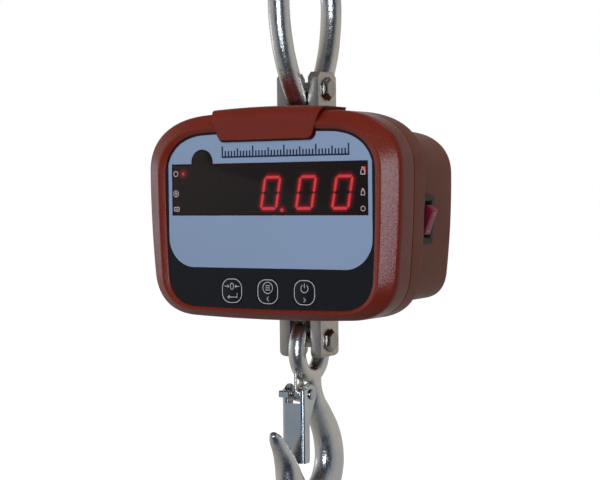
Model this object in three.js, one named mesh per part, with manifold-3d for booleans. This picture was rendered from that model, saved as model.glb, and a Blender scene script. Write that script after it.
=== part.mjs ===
// Direct-view electronic crane scale: a forked load cell hangs from a pear-shaped ring, carries a
// safety hook, and bears a two-part housing with a numeric display, three keys and a battery.
// Millimetres, +Z up, +X to the reader's right, -Y towards the reader.
// The origin is the crown of the ring's eye, where the crane hook bears.
import * as THREE from 'three';
import { mergeVertices } from 'three/addons/utils/BufferGeometryUtils.js';
import Module from 'manifold-3d';

const wasm = await Module();
wasm.setup();

// ---------------------------------------------------------------- driving dimensions
const GAP = 0.35;                 // clearance between pieces that touch
const RING_BAR = 19.4;            // bar diameter of the lifting ring
const RING_TOP_R = 46;            // centreline radius of the ring's crown
const RING_FOOT_R = 20;           // centreline radius of the bend under the bolt
const TOP_BOLT_Z = -114.5;
const BOTTOM_BOLT_Z = -342.8;
const BOLT_D = 14;                // M14 cross bolts
const BOLT_AF = 19;               // across flats of the low hexagon head
const BOLT_HEAD = 4.6;

const CELL_W = 44;                // load cell, across X
const CELL_D = 31.5;              // load cell, along Y
const CELL_ARM = 11;              // thickness of each fork arm
const CELL_TOP = -98.9;
const CELL_BOTTOM = -358;
const TOP_SLOT_FLOOR = -148;
const BOTTOM_SLOT_ROOF = -312;

const FACE_Y = -69.5;             // plane of the front film, from the load axis
const WINDOW_Z = -204.4;          // height of the display window's centre
const SEAM_Y = 28;                // from here on, housing depths are counted from the film
const FLANGE_Y = 48;
const REAR_Y = 125.5;
const WALL = 3;
const GASKET = 1;

// Housing outlines, symmetric about x = 0: widest half-width w at height zw, half-width wLow at
// zLow, crown at top and bottom, and the points where the rounded corners leave the crowns.
const OUTER = { w: 131.3, zw: 18, wLow: 126.6, zLow: -76, top: 69.5, xTop: 70, zTop: 67,
  xBot: 82, zBot: -113.8, bottom: -115.6 };
const INNER = { w: 108.8, zw: 14, wLow: 106, zLow: -78, top: 52, xTop: 66, zTop: 50.8,
  xBot: 76, zBot: -105, bottom: -105.8 };
const BOX = { w: 121.8, zw: 12.5, wLow: 116.4, zLow: -77, top: 54.2, xTop: 76, zTop: 52.2,
  xBot: 92, zBot: -101.6, bottom: -103.4 };
const CORNER = 0.6;               // handle length of the corner curves
const BEZEL_INSET = OUTER.w - INNER.w;

const WINDOW_W = 202.1;
const WINDOW_H = 44.7;
const DOME_X = -68.5;             // raised part of the window in front of the infrared receiver
const DOME_R = 10.9;
const DOME_Z = 24.3;
const DIGIT_PITCH = 36.4;
const DIGITS = 5;
const KEY_Z = -90.2;
const KEY_PITCH = 37.8;
const KEY_SIZE = 22;
const KEY_TRAVEL = 0.5;
const FILM = 0.6;
const BOARD_T = 1.6;               // thickness of every circuit board

const SWITCH_Y = 70.5;            // rocker switch centre, behind the film
const SWITCH_Z = -28;
const SWITCH_L = 43;
const SWITCH_W = 22;
const BATTERY = { w: 47, d: 70, h: 101, x: -68, y: 84.5, z: -26 };

const EYE = { halfY: 21.5, halfZ: 24 };   // centreline half-axes of the hook's oval eye
const EYE_BAR = 16;
const PIVOT = { y: -17.4, z: -47.6 };     // latch pivot from the lower bolt's axis
const LATCH_W = 24;
const SHEET = 1.6;
const PIN_R = 3;
const PIN_HEAD_R = 4.8;
const PIN_HEAD_H = 2;

// ---------------------------------------------------------------- finishes
const finish = (color, roughness, metalness) =>
  new THREE.MeshStandardMaterial({ color, roughness, metalness });
const FORGED = () => finish(0x9a958c, 0.3, 0.9);
const PLATED = () => finish(0xb4b8bd, 0.25, 0.95);
const STEEL = () => finish(0x8f8c86, 0.4, 0.85);
const SHELL = () => finish(0x6e2a22, 0.5, 0.1);
const SHELL_BACK = () => finish(0x5c3a30, 0.55, 0.1);
const BLACK = () => finish(0x1c1c1e, 0.6, 0);
const RUBBER = () => finish(0x151515, 0.9, 0);
const BOARD = () => finish(0x1f5a35, 0.6, 0);
const FILM_PRINT = () => finish(0x7d91af, 0.35, 0);
const KEY_PRINT = () => finish(0x181c22, 0.4, 0);
const SMOKED = () => finish(0x261010, 0.1, 0);
const ROCKER_RED = () => finish(0x8c193c, 0.35, 0);
const GREY = () => finish(0x3c3f43, 0.6, 0);

// ---------------------------------------------------------------- geometry helpers
const model = new THREE.Group();
const housing = new THREE.Group();
housing.position.set(0, FACE_Y, WINDOW_Z);
const lower = new THREE.Group();
lower.position.set(0, 0, BOTTOM_BOLT_Z);
model.add(housing, lower);

// A manifold-3d solid of a closed three.js geometry.
function solid(geometry) {
  geometry.deleteAttribute('normal');
  geometry.deleteAttribute('uv');
  const merged = mergeVertices(geometry, 1e-4);
  return new wasm.Manifold(new wasm.Mesh({
    numProp: 3,
    vertProperties: new Float32Array(merged.attributes.position.array),
    triVerts: new Uint32Array(merged.index.array),
  }));
}

// Adds one named piece; each piece has a material of its own.
function piece(parent, name, body, material) {
  const data = body.getMesh();
  const geometry = new THREE.BufferGeometry();
  geometry.setAttribute('position', new THREE.BufferAttribute(data.vertProperties, 3));
  geometry.setIndex(new THREE.BufferAttribute(data.triVerts, 1));
  geometry.computeVertexNormals();
  const mesh = new THREE.Mesh(geometry, material);
  mesh.name = name;
  parent.add(mesh);
  return mesh;
}

const block = (x0, x1, y0, y1, z0, z1) => solid(
  new THREE.BoxGeometry(x1 - x0, y1 - y0, z1 - z0)
    .translate((x0 + x1) / 2, (y0 + y1) / 2, (z0 + z1) / 2));

// Round bar along X, Y or Z from a to b, centred on the other two coordinates.
function bar(axis, radius, a, b, u = 0, v = 0, sides = 24) {
  const g = new THREE.CylinderGeometry(radius, radius, b - a, sides);
  if (axis === 'x') return solid(g.rotateZ(-Math.PI / 2).translate((a + b) / 2, u, v));
  if (axis === 'y') return solid(g.translate(u, (a + b) / 2, v));
  return solid(g.rotateX(Math.PI / 2).translate(u, v, (a + b) / 2));
}

// An outline drawn in x and z, extruded from y0 to y1.
const slab = (shape, y0, y1, curveSegments = 5) => solid(
  new THREE.ExtrudeGeometry(shape, { depth: y1 - y0, bevelEnabled: false, curveSegments })
    .rotateX(Math.PI / 2).translate(0, y1, 0));

// An outline drawn in y and z, extruded from x0 to x1.
const sideSlab = (shape, x0, x1, curveSegments = 5) => solid(
  new THREE.ExtrudeGeometry(shape, { depth: x1 - x0, bevelEnabled: false, curveSegments })
    .rotateX(Math.PI / 2).rotateZ(Math.PI / 2).translate(x0, 0, 0));

function roundedRect(cx, cz, w, h, r) {
  const s = new THREE.Shape();
  const [x0, x1, z0, z1] = [cx - w / 2, cx + w / 2, cz - h / 2, cz + h / 2];
  s.moveTo(x0 + r, z0);
  s.lineTo(x1 - r, z0);
  s.absarc(x1 - r, z0 + r, r, -Math.PI / 2, 0);
  s.lineTo(x1, z1 - r);
  s.absarc(x1 - r, z1 - r, r, 0, Math.PI / 2);
  s.lineTo(x0 + r, z1);
  s.absarc(x0 + r, z1 - r, r, Math.PI / 2, Math.PI);
  s.lineTo(x0, z0 + r);
  s.absarc(x0 + r, z0 + r, r, Math.PI, 1.5 * Math.PI);
  return s;
}

// A closed skin through a row of equal-length loops of points, with a fan over each end.
function loft(loops) {
  const n = loops[0].length;
  const points = loops.flat();
  const index = [];
  for (let k = 0; k < loops.length - 1; k++) {
    for (let i = 0; i < n; i++) {
      const j = (i + 1) % n;
      const [a, b, c, d] = [k * n + i, k * n + j, (k + 1) * n + i, (k + 1) * n + j];
      index.push(a, b, d, a, d, c);
    }
  }
  for (const [loop, start, flip] of [[loops[0], 0, true], [loops.at(-1), points.length - n, false]]) {
    const middle = loop.reduce((sum, p) => sum.clone().add(p)).divideScalar(n);
    const m = points.push(middle) - 1;
    for (let i = 0; i < n; i++) {
      const [a, b] = [start + i, start + (i + 1) % n];
      index.push(m, flip ? b : a, flip ? a : b);
    }
  }
  const g = new THREE.BufferGeometry().setFromPoints(points);
  g.setIndex(index);
  const body = solid(g);
  if (body.volume() > 0) return body;
  return solid(g.setIndex(index.reverse()));
}

const inset = (o, d) => ({ w: o.w - d, zw: o.zw, wLow: o.wLow - d, zLow: o.zLow, top: o.top - d,
  xTop: o.xTop, zTop: o.zTop - d, xBot: o.xBot, zBot: o.zBot + d, bottom: o.bottom + d });

const between = (a, b, t) =>
  Object.fromEntries(Object.keys(a).map((k) => [k, THREE.MathUtils.lerp(a[k], b[k], t)]));

// The housing outline as a closed shape in x and z.
function outline(o) {
  const s = new THREE.Shape();
  const [cw, ch] = [(o.w - o.xTop) * CORNER, (o.zTop - o.zw) * CORNER];
  const [bw, bh] = [(o.wLow - o.xBot) * CORNER, (o.zLow - o.zBot) * CORNER];
  const crownSlope = 2 * (o.top - o.zTop) / o.xTop;
  const footSlope = 2 * (o.zBot - o.bottom) / o.xBot;
  const taper = 2 * (o.w - o.wLow) / (o.zw - o.zLow);
  const topCorner = [[o.xTop, o.zTop], [o.xTop + cw, o.zTop - cw * crownSlope], [o.w, o.zw + ch],
    [o.w, o.zw]];
  const lowCorner = [[o.wLow, o.zLow], [o.wLow - bh * taper, o.zLow - bh],
    [o.xBot + bw, o.zBot + bw * footSlope], [o.xBot, o.zBot]];
  const curve = (side, points) =>
    s.bezierCurveTo(...points.slice(1).flatMap(([x, z]) => [side * x, z]));
  s.moveTo(0, o.top);
  s.quadraticCurveTo(o.xTop / 2, o.top, o.xTop, o.zTop);
  curve(1, topCorner);
  s.quadraticCurveTo(o.w, (o.zw + o.zLow) / 2, o.wLow, o.zLow);
  curve(1, lowCorner);
  s.quadraticCurveTo(o.xBot / 2, o.bottom, 0, o.bottom);
  s.quadraticCurveTo(-o.xBot / 2, o.bottom, -o.xBot, o.zBot);
  curve(-1, lowCorner.toReversed());
  s.quadraticCurveTo(-o.w, (o.zw + o.zLow) / 2, -o.w, o.zw);
  curve(-1, topCorner.toReversed());
  s.quadraticCurveTo(-o.xTop / 2, o.top, 0, o.top);
  return s;
}

const CORNER_STEPS = 8;
const SIDE_STEPS = 2;
const loopAt = (o, y) => outline(o).curves.flatMap((curve) => {
  const steps = curve.isCubicBezierCurve ? CORNER_STEPS : SIDE_STEPS;
  return curve.getPoints(steps).slice(0, -1).map((p) => new THREE.Vector3(p.x, y, p.y));
});
const shellBody = (rows) => loft(rows.map(([o, y]) => loopAt(o, y)));

// A pan-head screw along Y whose head faces +Y; the shank ends at tip, the head's seat is at seat.
function screw(parent, name, x, z, tip, seat, shankR, headR, headH) {
  const drive = headR * 0.35;
  const body = bar('y', shankR, tip, seat, x, z, 8)
    .add(bar('y', headR, seat - 0.01, seat + headH, x, z, 14))
    .subtract(block(x - drive * 2, x + drive * 2, seat + headH * 0.55, seat + headH + 1,
      z - drive * 0.35, z + drive * 0.35))
    .subtract(block(x - drive * 0.35, x + drive * 0.35, seat + headH * 0.55, seat + headH + 1,
      z - drive * 2, z + drive * 2));
  piece(parent, name, body, PLATED());
}

// ---------------------------------------------------------------- lifting ring
// Pear-shaped loop in the YZ plane: crown arc, two side arcs centred level with the crown's
// centre, and a foot arc that passes under the top bolt.
function liftingRing() {
  const crownZ = RING_BAR / 2 - RING_TOP_R;
  const footZ = TOP_BOLT_Z - BOLT_D / 2 - GAP - RING_BAR / 2 + RING_FOOT_R;
  const drop = crownZ - footZ;
  const shrink = RING_TOP_R - RING_FOOT_R;
  const sideR = (drop ** 2 / shrink + RING_TOP_R + RING_FOOT_R) / 2;
  const sideY = sideR - RING_TOP_R;
  const sweep = Math.atan2(drop, sideY);
  class Pear extends THREE.Curve {
    getPoint(t) {
      const lengths = [Math.PI / 2 * RING_TOP_R, sweep * sideR, (Math.PI / 2 - sweep) * RING_FOOT_R];
      const halfLength = lengths[0] + lengths[1] + lengths[2];
      const side = t <= 0.5 ? 1 : -1;
      let s = (t <= 0.5 ? t : 1 - t) * 2 * halfLength;
      if (s <= lengths[0]) {
        const a = s / RING_TOP_R;
        return new THREE.Vector3(0, side * RING_TOP_R * Math.sin(a), crownZ + RING_TOP_R * Math.cos(a));
      }
      s -= lengths[0];
      if (s <= lengths[1]) {
        const a = s / sideR;
        return new THREE.Vector3(0, side * (sideR * Math.cos(a) - sideY), crownZ - sideR * Math.sin(a));
      }
      const a = sweep + (s - lengths[1]) / RING_FOOT_R;
      return new THREE.Vector3(0, side * RING_FOOT_R * Math.cos(a), footZ - RING_FOOT_R * Math.sin(a));
    }
  }
  const ring = solid(new THREE.TubeGeometry(new Pear(), 52, RING_BAR / 2, 12, true));
  piece(model, 'lifting_ring', ring, FORGED());
}

// ---------------------------------------------------------------- cross bolts
// Each bolt is screwed into the far arm of its fork, so no nut stands out there.
function crossBolt(name, z) {
  const seat = CELL_W / 2 + GAP;
  const end = -CELL_W / 2 + 0.6;
  const middle = seat + BOLT_HEAD / 2;
  const cone = (rOuter, rSeat, sides) => solid(
    new THREE.CylinderGeometry(rOuter, rSeat, BOLT_HEAD, sides)
      .rotateZ(-Math.PI / 2).translate(middle, 0, z));
  const corner = BOLT_AF / Math.sqrt(3);
  const head = cone(corner, corner, 6).intersect(cone(BOLT_AF * 0.46, BOLT_AF * 0.64, 24));
  piece(model, name, bar('x', BOLT_D / 2, end, seat + 0.5, 0, z, 28).add(head), PLATED());
}

// ---------------------------------------------------------------- load cell
function loadCell() {
  const [w, d] = [CELL_W / 2, CELL_D / 2];
  const [chamfer, cornerR] = [5, 6];
  const front = new THREE.Shape();
  front.moveTo(-w + cornerR, CELL_BOTTOM);
  front.lineTo(w - cornerR, CELL_BOTTOM);
  front.absarc(w - cornerR, CELL_BOTTOM + cornerR, cornerR, -Math.PI / 2, 0);
  front.lineTo(w, CELL_TOP - 1.5);
  front.lineTo(w - 1.5, CELL_TOP);
  front.lineTo(-w + 1.5, CELL_TOP);
  front.lineTo(-w, CELL_TOP - 1.5);
  front.lineTo(-w, CELL_BOTTOM + cornerR);
  front.absarc(-w + cornerR, CELL_BOTTOM + cornerR, cornerR, Math.PI, 1.5 * Math.PI);
  const side = new THREE.Shape();
  side.moveTo(-d + cornerR, CELL_BOTTOM);
  side.lineTo(d - cornerR, CELL_BOTTOM);
  side.absarc(d - cornerR, CELL_BOTTOM + cornerR, cornerR, -Math.PI / 2, 0);
  side.lineTo(d, CELL_TOP - chamfer);
  side.lineTo(d - chamfer, CELL_TOP);
  side.lineTo(-d + chamfer, CELL_TOP);
  side.lineTo(-d, CELL_TOP - chamfer);
  side.lineTo(-d, CELL_BOTTOM + cornerR);
  side.absarc(-d + cornerR, CELL_BOTTOM + cornerR, cornerR, Math.PI, 1.5 * Math.PI);
  const slot = w - CELL_ARM;
  // U-shaped slots with a round floor, open at the ends of the bar.
  const topSlot = block(-slot, slot, -d - 1, d + 1, TOP_SLOT_FLOOR + slot, CELL_TOP + 1)
    .add(bar('y', slot, -d - 1, d + 1, 0, TOP_SLOT_FLOOR + slot, 24));
  const bottomSlot = block(-slot, slot, -d - 1, d + 1, CELL_BOTTOM - 1, BOTTOM_SLOT_ROOF - slot)
    .add(bar('y', slot, -d - 1, d + 1, 0, BOTTOM_SLOT_ROOF - slot, 24));
  const middle = (TOP_SLOT_FLOOR + BOTTOM_SLOT_ROOF) / 2;
  const gauge = { halfW: 13, halfH: 20, depth: 9 };
  let cell = slab(front, -d, d).intersect(sideSlab(side, -w, w)).subtract(topSlot).subtract(bottomSlot);
  for (const s of [-1, 1]) {
    const pocket = s < 0 ? [-d - 1, -d + gauge.depth] : [d - gauge.depth, d + 1];
    cell = cell.subtract(block(-gauge.halfW, gauge.halfW, ...pocket, middle - gauge.halfH,
      middle + gauge.halfH));
  }
  for (const z of [TOP_BOLT_Z, BOTTOM_BOLT_Z]) {
    cell = cell.subtract(bar('x', BOLT_D / 2 + GAP, -w - 1, w + 1, 0, z, 28));
  }
  for (const s of [-1, 1]) {
    for (const z of [BRACKET.z - BRACKET.pitch / 2, BRACKET.z + BRACKET.pitch / 2]) {
      cell = cell.subtract(bar('x', 2.4, s > 0 ? w - 9 : -w - 1, s > 0 ? w + 1 : -w + 9, 0,
        z + WINDOW_Z, 12));
    }
  }
  piece(model, 'load_cell', cell, STEEL());
}

// Brackets that fasten the housing to the load cell: an angle on each side of the bar.
const BRACKET = { t: 3, z: -28, h: 60, pitch: 36, foot: 18, depth: 24 };
function cellBrackets() {
  const cellY = -FACE_Y;
  const x0 = CELL_W / 2 + GAP;
  for (const [side, label] of [[-1, 'left'], [1, 'right']]) {
    const span = (a, b) => (side > 0 ? [a, b] : [-b, -a]);
    const rear = cellY + BRACKET.depth;
    let angle = block(...span(x0, x0 + BRACKET.t), cellY - 12, rear, BRACKET.z - BRACKET.h / 2,
      BRACKET.z + BRACKET.h / 2)
      .add(block(...span(x0, x0 + BRACKET.foot), rear - BRACKET.t, rear, BRACKET.z - BRACKET.h / 2,
        BRACKET.z + BRACKET.h / 2));
    for (const k of [-1, 1]) {
      const z = BRACKET.z + k * BRACKET.pitch / 2;
      angle = angle.subtract(bar('x', 2.6, ...span(x0 - 1, x0 + BRACKET.t + 1), cellY, z, 12));
      const shank = bar('x', 2, ...span(x0 - 7, x0 + BRACKET.t + GAP + 0.1), cellY, z, 12);
      const head = bar('x', 4, ...span(x0 + BRACKET.t + GAP, x0 + BRACKET.t + GAP + 3), cellY, z, 16);
      piece(housing, `bracket_screw_${label}_${k < 0 ? 'lower' : 'upper'}`, shank.add(head), PLATED());
    }
    piece(housing, `load_cell_bracket_${label}`, angle, STEEL());
  }
}

// ---------------------------------------------------------------- housing shells
const SCREW_POINTS = [[-101.5, 54], [101.5, 54], [-103.5, -103.2], [103.5, -103.2]];
const BOSS_R = 4.6;

function windowShape(grow) {
  const [w, h] = [WINDOW_W / 2 + grow, WINDOW_H / 2 + grow];
  const r = DOME_R + grow;
  const half = Math.sqrt(r ** 2 - (h - DOME_Z) ** 2);
  const start = Math.atan2(h - DOME_Z, half);
  const s = new THREE.Shape();
  s.moveTo(-w, -h);
  s.lineTo(w, -h);
  s.lineTo(w, h);
  s.absarc(DOME_X, DOME_Z, r, start, Math.PI - start);
  s.lineTo(-w, h);
  return s;
}

const keyX = (i) => (i - 1) * KEY_PITCH;

// The brow's footprint on the bezel, wide at the top and narrower at its rounded foot.
function browShape(grow, top) {
  const foot = { x: 43.5 + grow, z: 43.6 - grow };
  const shoulder = { x: 49.8 + grow, z: 50 };
  const crown = { x: 57.5 + grow, z: top };
  const s = new THREE.Shape();
  s.moveTo(-foot.x, foot.z);
  s.lineTo(foot.x, foot.z);
  s.quadraticCurveTo(shoulder.x - 1.2, foot.z + 0.4, shoulder.x, shoulder.z);
  s.lineTo(crown.x, crown.z);
  s.lineTo(-crown.x, crown.z);
  s.lineTo(-shoulder.x, shoulder.z);
  s.quadraticCurveTo(-shoulder.x + 1.2, foot.z + 0.4, -foot.x, foot.z);
  return s;
}

// Bezel section as [inset from the side, depth]: side wall, rounding, outer chamfer, crest,
// inner slope, and the step down to the film.
const BEZEL_SECTION = [[0, SEAM_Y - GASKET / 2 - 0.3], [0, 8.5], [0.7, 5.9], [2.4, 4], [15.2, -2.7],
  [16.4, -3.2], [17.4, -2.9], [22, -1.1], [BEZEL_INSET, 0.95]];

function frontShell() {
  const rows = BEZEL_SECTION.map(([d, y]) => [between(OUTER, INNER, d / BEZEL_INSET), y]);
  const cavity = shellBody([[inset(OUTER, WALL), SEAM_Y + 1], [inset(OUTER, WALL), 8.6],
    [inset(OUTER, WALL * 3), 3.9]]);
  let shell = shellBody(rows).subtract(cavity);
  for (const [x, z] of SCREW_POINTS) {
    const boss = bar('y', BOSS_R, 3.5, SEAM_Y - GASKET / 2 - 0.3, x, z, 16)
      .intersect(shellBody([[inset(OUTER, 1), SEAM_Y], [inset(OUTER, 1), 8.6], [inset(OUTER, 6), 3]]));
    shell = shell.add(boss).subtract(bar('y', 1.9, 12, SEAM_Y + 1, x, z, 12));
  }
  const behind = 5;
  shell = shell.subtract(slab(windowShape(GAP), -1, 2.5)).subtract(slab(windowShape(-2), 2, behind));
  for (let i = 0; i < 3; i++) {
    shell = shell.subtract(slab(roundedRect(keyX(i), KEY_Z, KEY_SIZE + 2 * GAP, KEY_SIZE + 2 * GAP, 6),
      0, behind));
  }
  const browTop = OUTER.top + 10;
  shell = shell.subtract(slab(browShape(GAP, browTop), -6, 1.2)).subtract(
    slab(browShape(GAP, browTop), 1.1, BROW.rear + 1).subtract(
      shellBody([[inset(OUTER, 1), SEAM_Y + 20], [inset(OUTER, 1), -6]])));
  piece(housing, 'front_shell', shell, SHELL());
}

// The brow stands proud of the bezel and wraps over the top of the housing.
const BROW = { face: -2.2, rise: 3.2, rear: 42 };
function browCover() {
  const grown = inset(OUTER, -BROW.rise);
  const over = shellBody([[grown, BROW.rear], [grown, 3.5], [inset(grown, 2.6), -0.2],
    [inset(grown, 8), BROW.face - 1.2], [inset(grown, 26), BROW.face - 1.2]]);
  const under = shellBody([[inset(OUTER, -GAP), BROW.rear + 1], [inset(OUTER, -GAP), 1.2 - GAP],
    [inset(OUTER, 40), 1.2 - GAP - 0.01]]);
  const brow = slab(browShape(0, OUTER.top + 12), -6, BROW.rear).intersect(over).subtract(under);
  piece(housing, 'brow_cover', brow, SHELL());
}

function backShell() {
  const front = SEAM_Y + GASKET / 2 + 0.3;
  const edge = 7;
  const rear = REAR_Y;
  const outside = shellBody([[OUTER, front], [OUTER, FLANGE_Y - 1.5], [inset(OUTER, 1), FLANGE_Y],
    [inset(BOX, -0.4), FLANGE_Y + 0.3], [BOX, FLANGE_Y + 1.3], [inset(BOX, 0.6), rear - edge],
    [inset(BOX, 0.6 + edge * 0.13), rear - edge * 0.5], [inset(BOX, 0.6 + edge * 0.5), rear - edge * 0.13],
    [inset(BOX, 0.6 + edge), rear]]);
  const inside = shellBody([[inset(OUTER, WALL), front - 1], [inset(OUTER, WALL), FLANGE_Y - WALL],
    [inset(BOX, WALL), FLANGE_Y - WALL + 0.4], [inset(BOX, WALL + 0.6), rear - edge],
    [inset(BOX, WALL + 2), rear - WALL]]);
  let shell = outside.subtract(inside);
  const boss = { r: 6, bore: 2.6, seat: FLANGE_Y - 5, head: 4 };
  const within = shellBody([[inset(OUTER, 1), front - 1], [inset(OUTER, 1), FLANGE_Y - 0.8]]);
  const box = shellBody([[inset(BOX, 1), front - 2], [inset(BOX, 1), rear]]);
  for (const [x, z] of SCREW_POINTS) {
    shell = shell.add(bar('y', boss.r, front, FLANGE_Y - 0.5, x, z, 20).intersect(within));
    shell = shell.subtract(bar('y', boss.bore, front - 1, FLANGE_Y + 1, x, z, 16));
    shell = shell.subtract(bar('y', boss.head, boss.seat, FLANGE_Y + 6, x, z, 20).subtract(box));
  }
  const cellY = -FACE_Y;
  const [sx, sy] = [CELL_W / 2 + SEAL.t + 2 * GAP, CELL_D / 2 + SEAL.t + 2 * GAP];
  shell = shell.subtract(block(-sx, sx, cellY - sy, cellY + sy, -130, 80));
  // Battery opening with a rebate for its door, and four bosses for the door's screws.
  const { x, z } = BATTERY;
  shell = shell.subtract(slab(roundedRect(x, z, DOOR.w, DOOR.h, 5), rear - DOOR.t - GAP, rear + 1));
  for (const [px, pz] of doorScrews()) {
    shell = shell.add(bar('y', 4, rear - 14, rear - DOOR.t - GAP, px, pz, 16));
    shell = shell.subtract(bar('y', 1.5, rear - 11, rear + 1, px, pz, 12));
  }
  shell = shell.subtract(slab(roundedRect(x, z, BATTERY.w + 3, BATTERY.h + 3, 3), rear - 5, rear + 1));
  // Switch cut-out in the right-hand wall and socket hole in the left-hand wall.
  shell = shell.subtract(block(BOX.w - 12, BOX.w + 5, SWITCH_Y - 9, SWITCH_Y + 9,
    SWITCH_Z - 19.5, SWITCH_Z + 19.5));
  shell = shell.subtract(bar('x', SOCKET.r + GAP, -BOX.w - 5, -BOX.w + 12, SOCKET.y, SOCKET.z, 20));
  // Lugs that the load-cell brackets' feet rest on.
  for (const side of [-1, 1]) {
    const lug = [CELL_W / 2 + 3, CELL_W / 2 + 11];
    const yRear = cellY + BRACKET.depth + GAP;
    shell = shell.add(block(...(side > 0 ? lug : [-lug[1], -lug[0]]), yRear, rear - 2,
      BRACKET.z - 6, BRACKET.z + 6));
  }
  piece(housing, 'back_shell', shell, SHELL_BACK());
  SCREW_POINTS.forEach(([px, pz], i) =>
    screw(housing, `housing_screw_${i + 1}`, px, pz, 15, boss.seat + GAP, 1.5, 3.5, 2.6));
}

function gasket() {
  const [y0, y1] = [SEAM_Y - GASKET / 2, SEAM_Y + GASKET / 2];
  const rim = shellBody([[inset(OUTER, 0.5), y1], [inset(OUTER, 0.5), y0]])
    .subtract(shellBody([[inset(OUTER, WALL), y1 + 1], [inset(OUTER, WALL), y0 - 1]]));
  piece(housing, 'housing_gasket', rim, RUBBER());
}

// Rubber collars that close the gap between the load cell and the shell, with a lip outside.
const SEAL = { t: 2, lip: 4, lipH: 2 };
function seals() {
  const cellY = -FACE_Y;
  const [ix, iy] = [CELL_W / 2 + GAP, CELL_D / 2 + GAP];
  for (const [name, sign, face] of [['top_seal', 1, BOX.top], ['bottom_seal', -1, BOX.bottom]]) {
    const span = (a, b) => (sign > 0 ? [face + a, face + b] : [face - b, face - a]);
    const tube = block(-ix - SEAL.t, ix + SEAL.t, cellY - iy - SEAL.t, cellY + iy + SEAL.t,
      ...span(-WALL - 2, GAP + 0.2))
      .add(block(-ix - SEAL.lip, ix + SEAL.lip, cellY - iy - SEAL.lip, cellY + iy + SEAL.lip,
        ...span(GAP, GAP + SEAL.lipH)))
      .subtract(block(-ix, ix, cellY - iy, cellY + iy, ...span(-WALL - 4, 10)));
    piece(housing, name, tube, RUBBER());
  }
}

// ---------------------------------------------------------------- front panel
// Behind each key cap a stem faces a tact switch on the key board.
const KEY = { stemR: 3, stemEnd: 6, tact: 8, boardY: 10, boardHalfW: 54 };
function frontPanel() {
  const film = inset(INNER, GAP);
  let overlay = shellBody([[film, FILM], [film, 0]]).subtract(slab(windowShape(GAP), -1, 2))
    .subtract(slab(browShape(GAP + 0.3, OUTER.top), -1, 2));
  for (let i = 0; i < 3; i++) {
    overlay = overlay.subtract(slab(roundedRect(keyX(i), KEY_Z, KEY_SIZE + 2 * GAP,
      KEY_SIZE + 2 * GAP, 6), -1, 2));
  }
  piece(housing, 'front_overlay', overlay, FILM_PRINT());
  piece(housing, 'display_window', slab(windowShape(0), 0, 2 - GAP), SMOKED());
  const names = ['zero', 'menu', 'power'];
  names.forEach((name, i) => {
    const cap = slab(roundedRect(keyX(i), KEY_Z, KEY_SIZE, KEY_SIZE, 5.6), 0.05, 2.2)
      .add(bar('y', KEY.stemR, 2, KEY.stemEnd, keyX(i), KEY_Z, 16));
    piece(housing, `key_${name}`, cap, KEY_PRINT());
    const button = KEY.stemEnd + KEY_TRAVEL + GAP;
    const half = KEY.tact / 2;
    const tact = block(keyX(i) - half, keyX(i) + half, button + 1.4, KEY.boardY - GAP, KEY_Z - half,
      KEY_Z + half).add(bar('y', 2, button, button + 1.5, keyX(i), KEY_Z, 12));
    piece(housing, `key_switch_${i + 1}`, tact, BLACK());
  });
  const board = block(-KEY.boardHalfW, KEY.boardHalfW, KEY.boardY, KEY.boardY + BOARD_T, KEY_Z - 10,
    KEY_Z + 9);
  piece(housing, 'key_board', board, BOARD());
}

// Seven-segment modules on their board, with the infrared receiver behind the window's dome.
const MODULE = { front: 4.5, rear: 14, bottom: -20, top: 17.4, gap: 0.6 };
const RECEIVER = { halfW: 3.5, z: 25, halfH: 4, front: 9, lensR: 2.8, lensFront: 6 };
const DISPLAY_BOARD = { halfW: 98, bottom: -26, top: 34 };
const MAIN_BOARD = { halfW: 70, bottom: -80, top: 30, y: 34 };
function display() {
  for (let i = 0; i < DIGITS; i++) {
    const x = (i - (DIGITS - 1) / 2) * DIGIT_PITCH;
    const w = (DIGIT_PITCH - MODULE.gap) / 2;
    const module = block(x - w, x + w, MODULE.front, MODULE.rear, MODULE.bottom, MODULE.top);
    piece(housing, `digit_module_${i + 1}`, module, BLACK());
  }
  const r = RECEIVER;
  const receiver = block(DOME_X - r.halfW, DOME_X + r.halfW, r.front, MODULE.rear, r.z - r.halfH,
    r.z + r.halfH).add(bar('y', r.lensR, r.lensFront, r.front + 0.1, DOME_X, r.z, 16));
  piece(housing, 'ir_receiver', receiver, BLACK());
  const boardY = MODULE.rear + GAP;
  const board = block(-DISPLAY_BOARD.halfW, DISPLAY_BOARD.halfW, boardY, boardY + BOARD_T,
    DISPLAY_BOARD.bottom, DISPLAY_BOARD.top);
  piece(housing, 'display_board', board, BOARD());
  // The main board carries a transformer block and a smaller power stage on its rear side.
  const m = MAIN_BOARD;
  const rear = m.y + BOARD_T;
  const transformer = block(-50, -20, rear - 0.1, rear + 8.4, -20, 10);
  const powerStage = block(15, 50, rear - 0.1, rear + 5.4, -60, -35);
  const main = block(-m.halfW, m.halfW, m.y, rear, m.bottom, m.top).add(transformer).add(powerStage);
  piece(housing, 'main_board', main, BOARD());
}

// ---------------------------------------------------------------- battery and its door
const DOOR = { w: 66, h: 116, t: 2.4 };
const doorScrews = () => [-1, 1].flatMap((i) => [-1, 1].map((k) =>
  [BATTERY.x + i * (DOOR.w / 2 - 4.2), BATTERY.z + k * (DOOR.h / 2 - 4.2)]));

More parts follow.
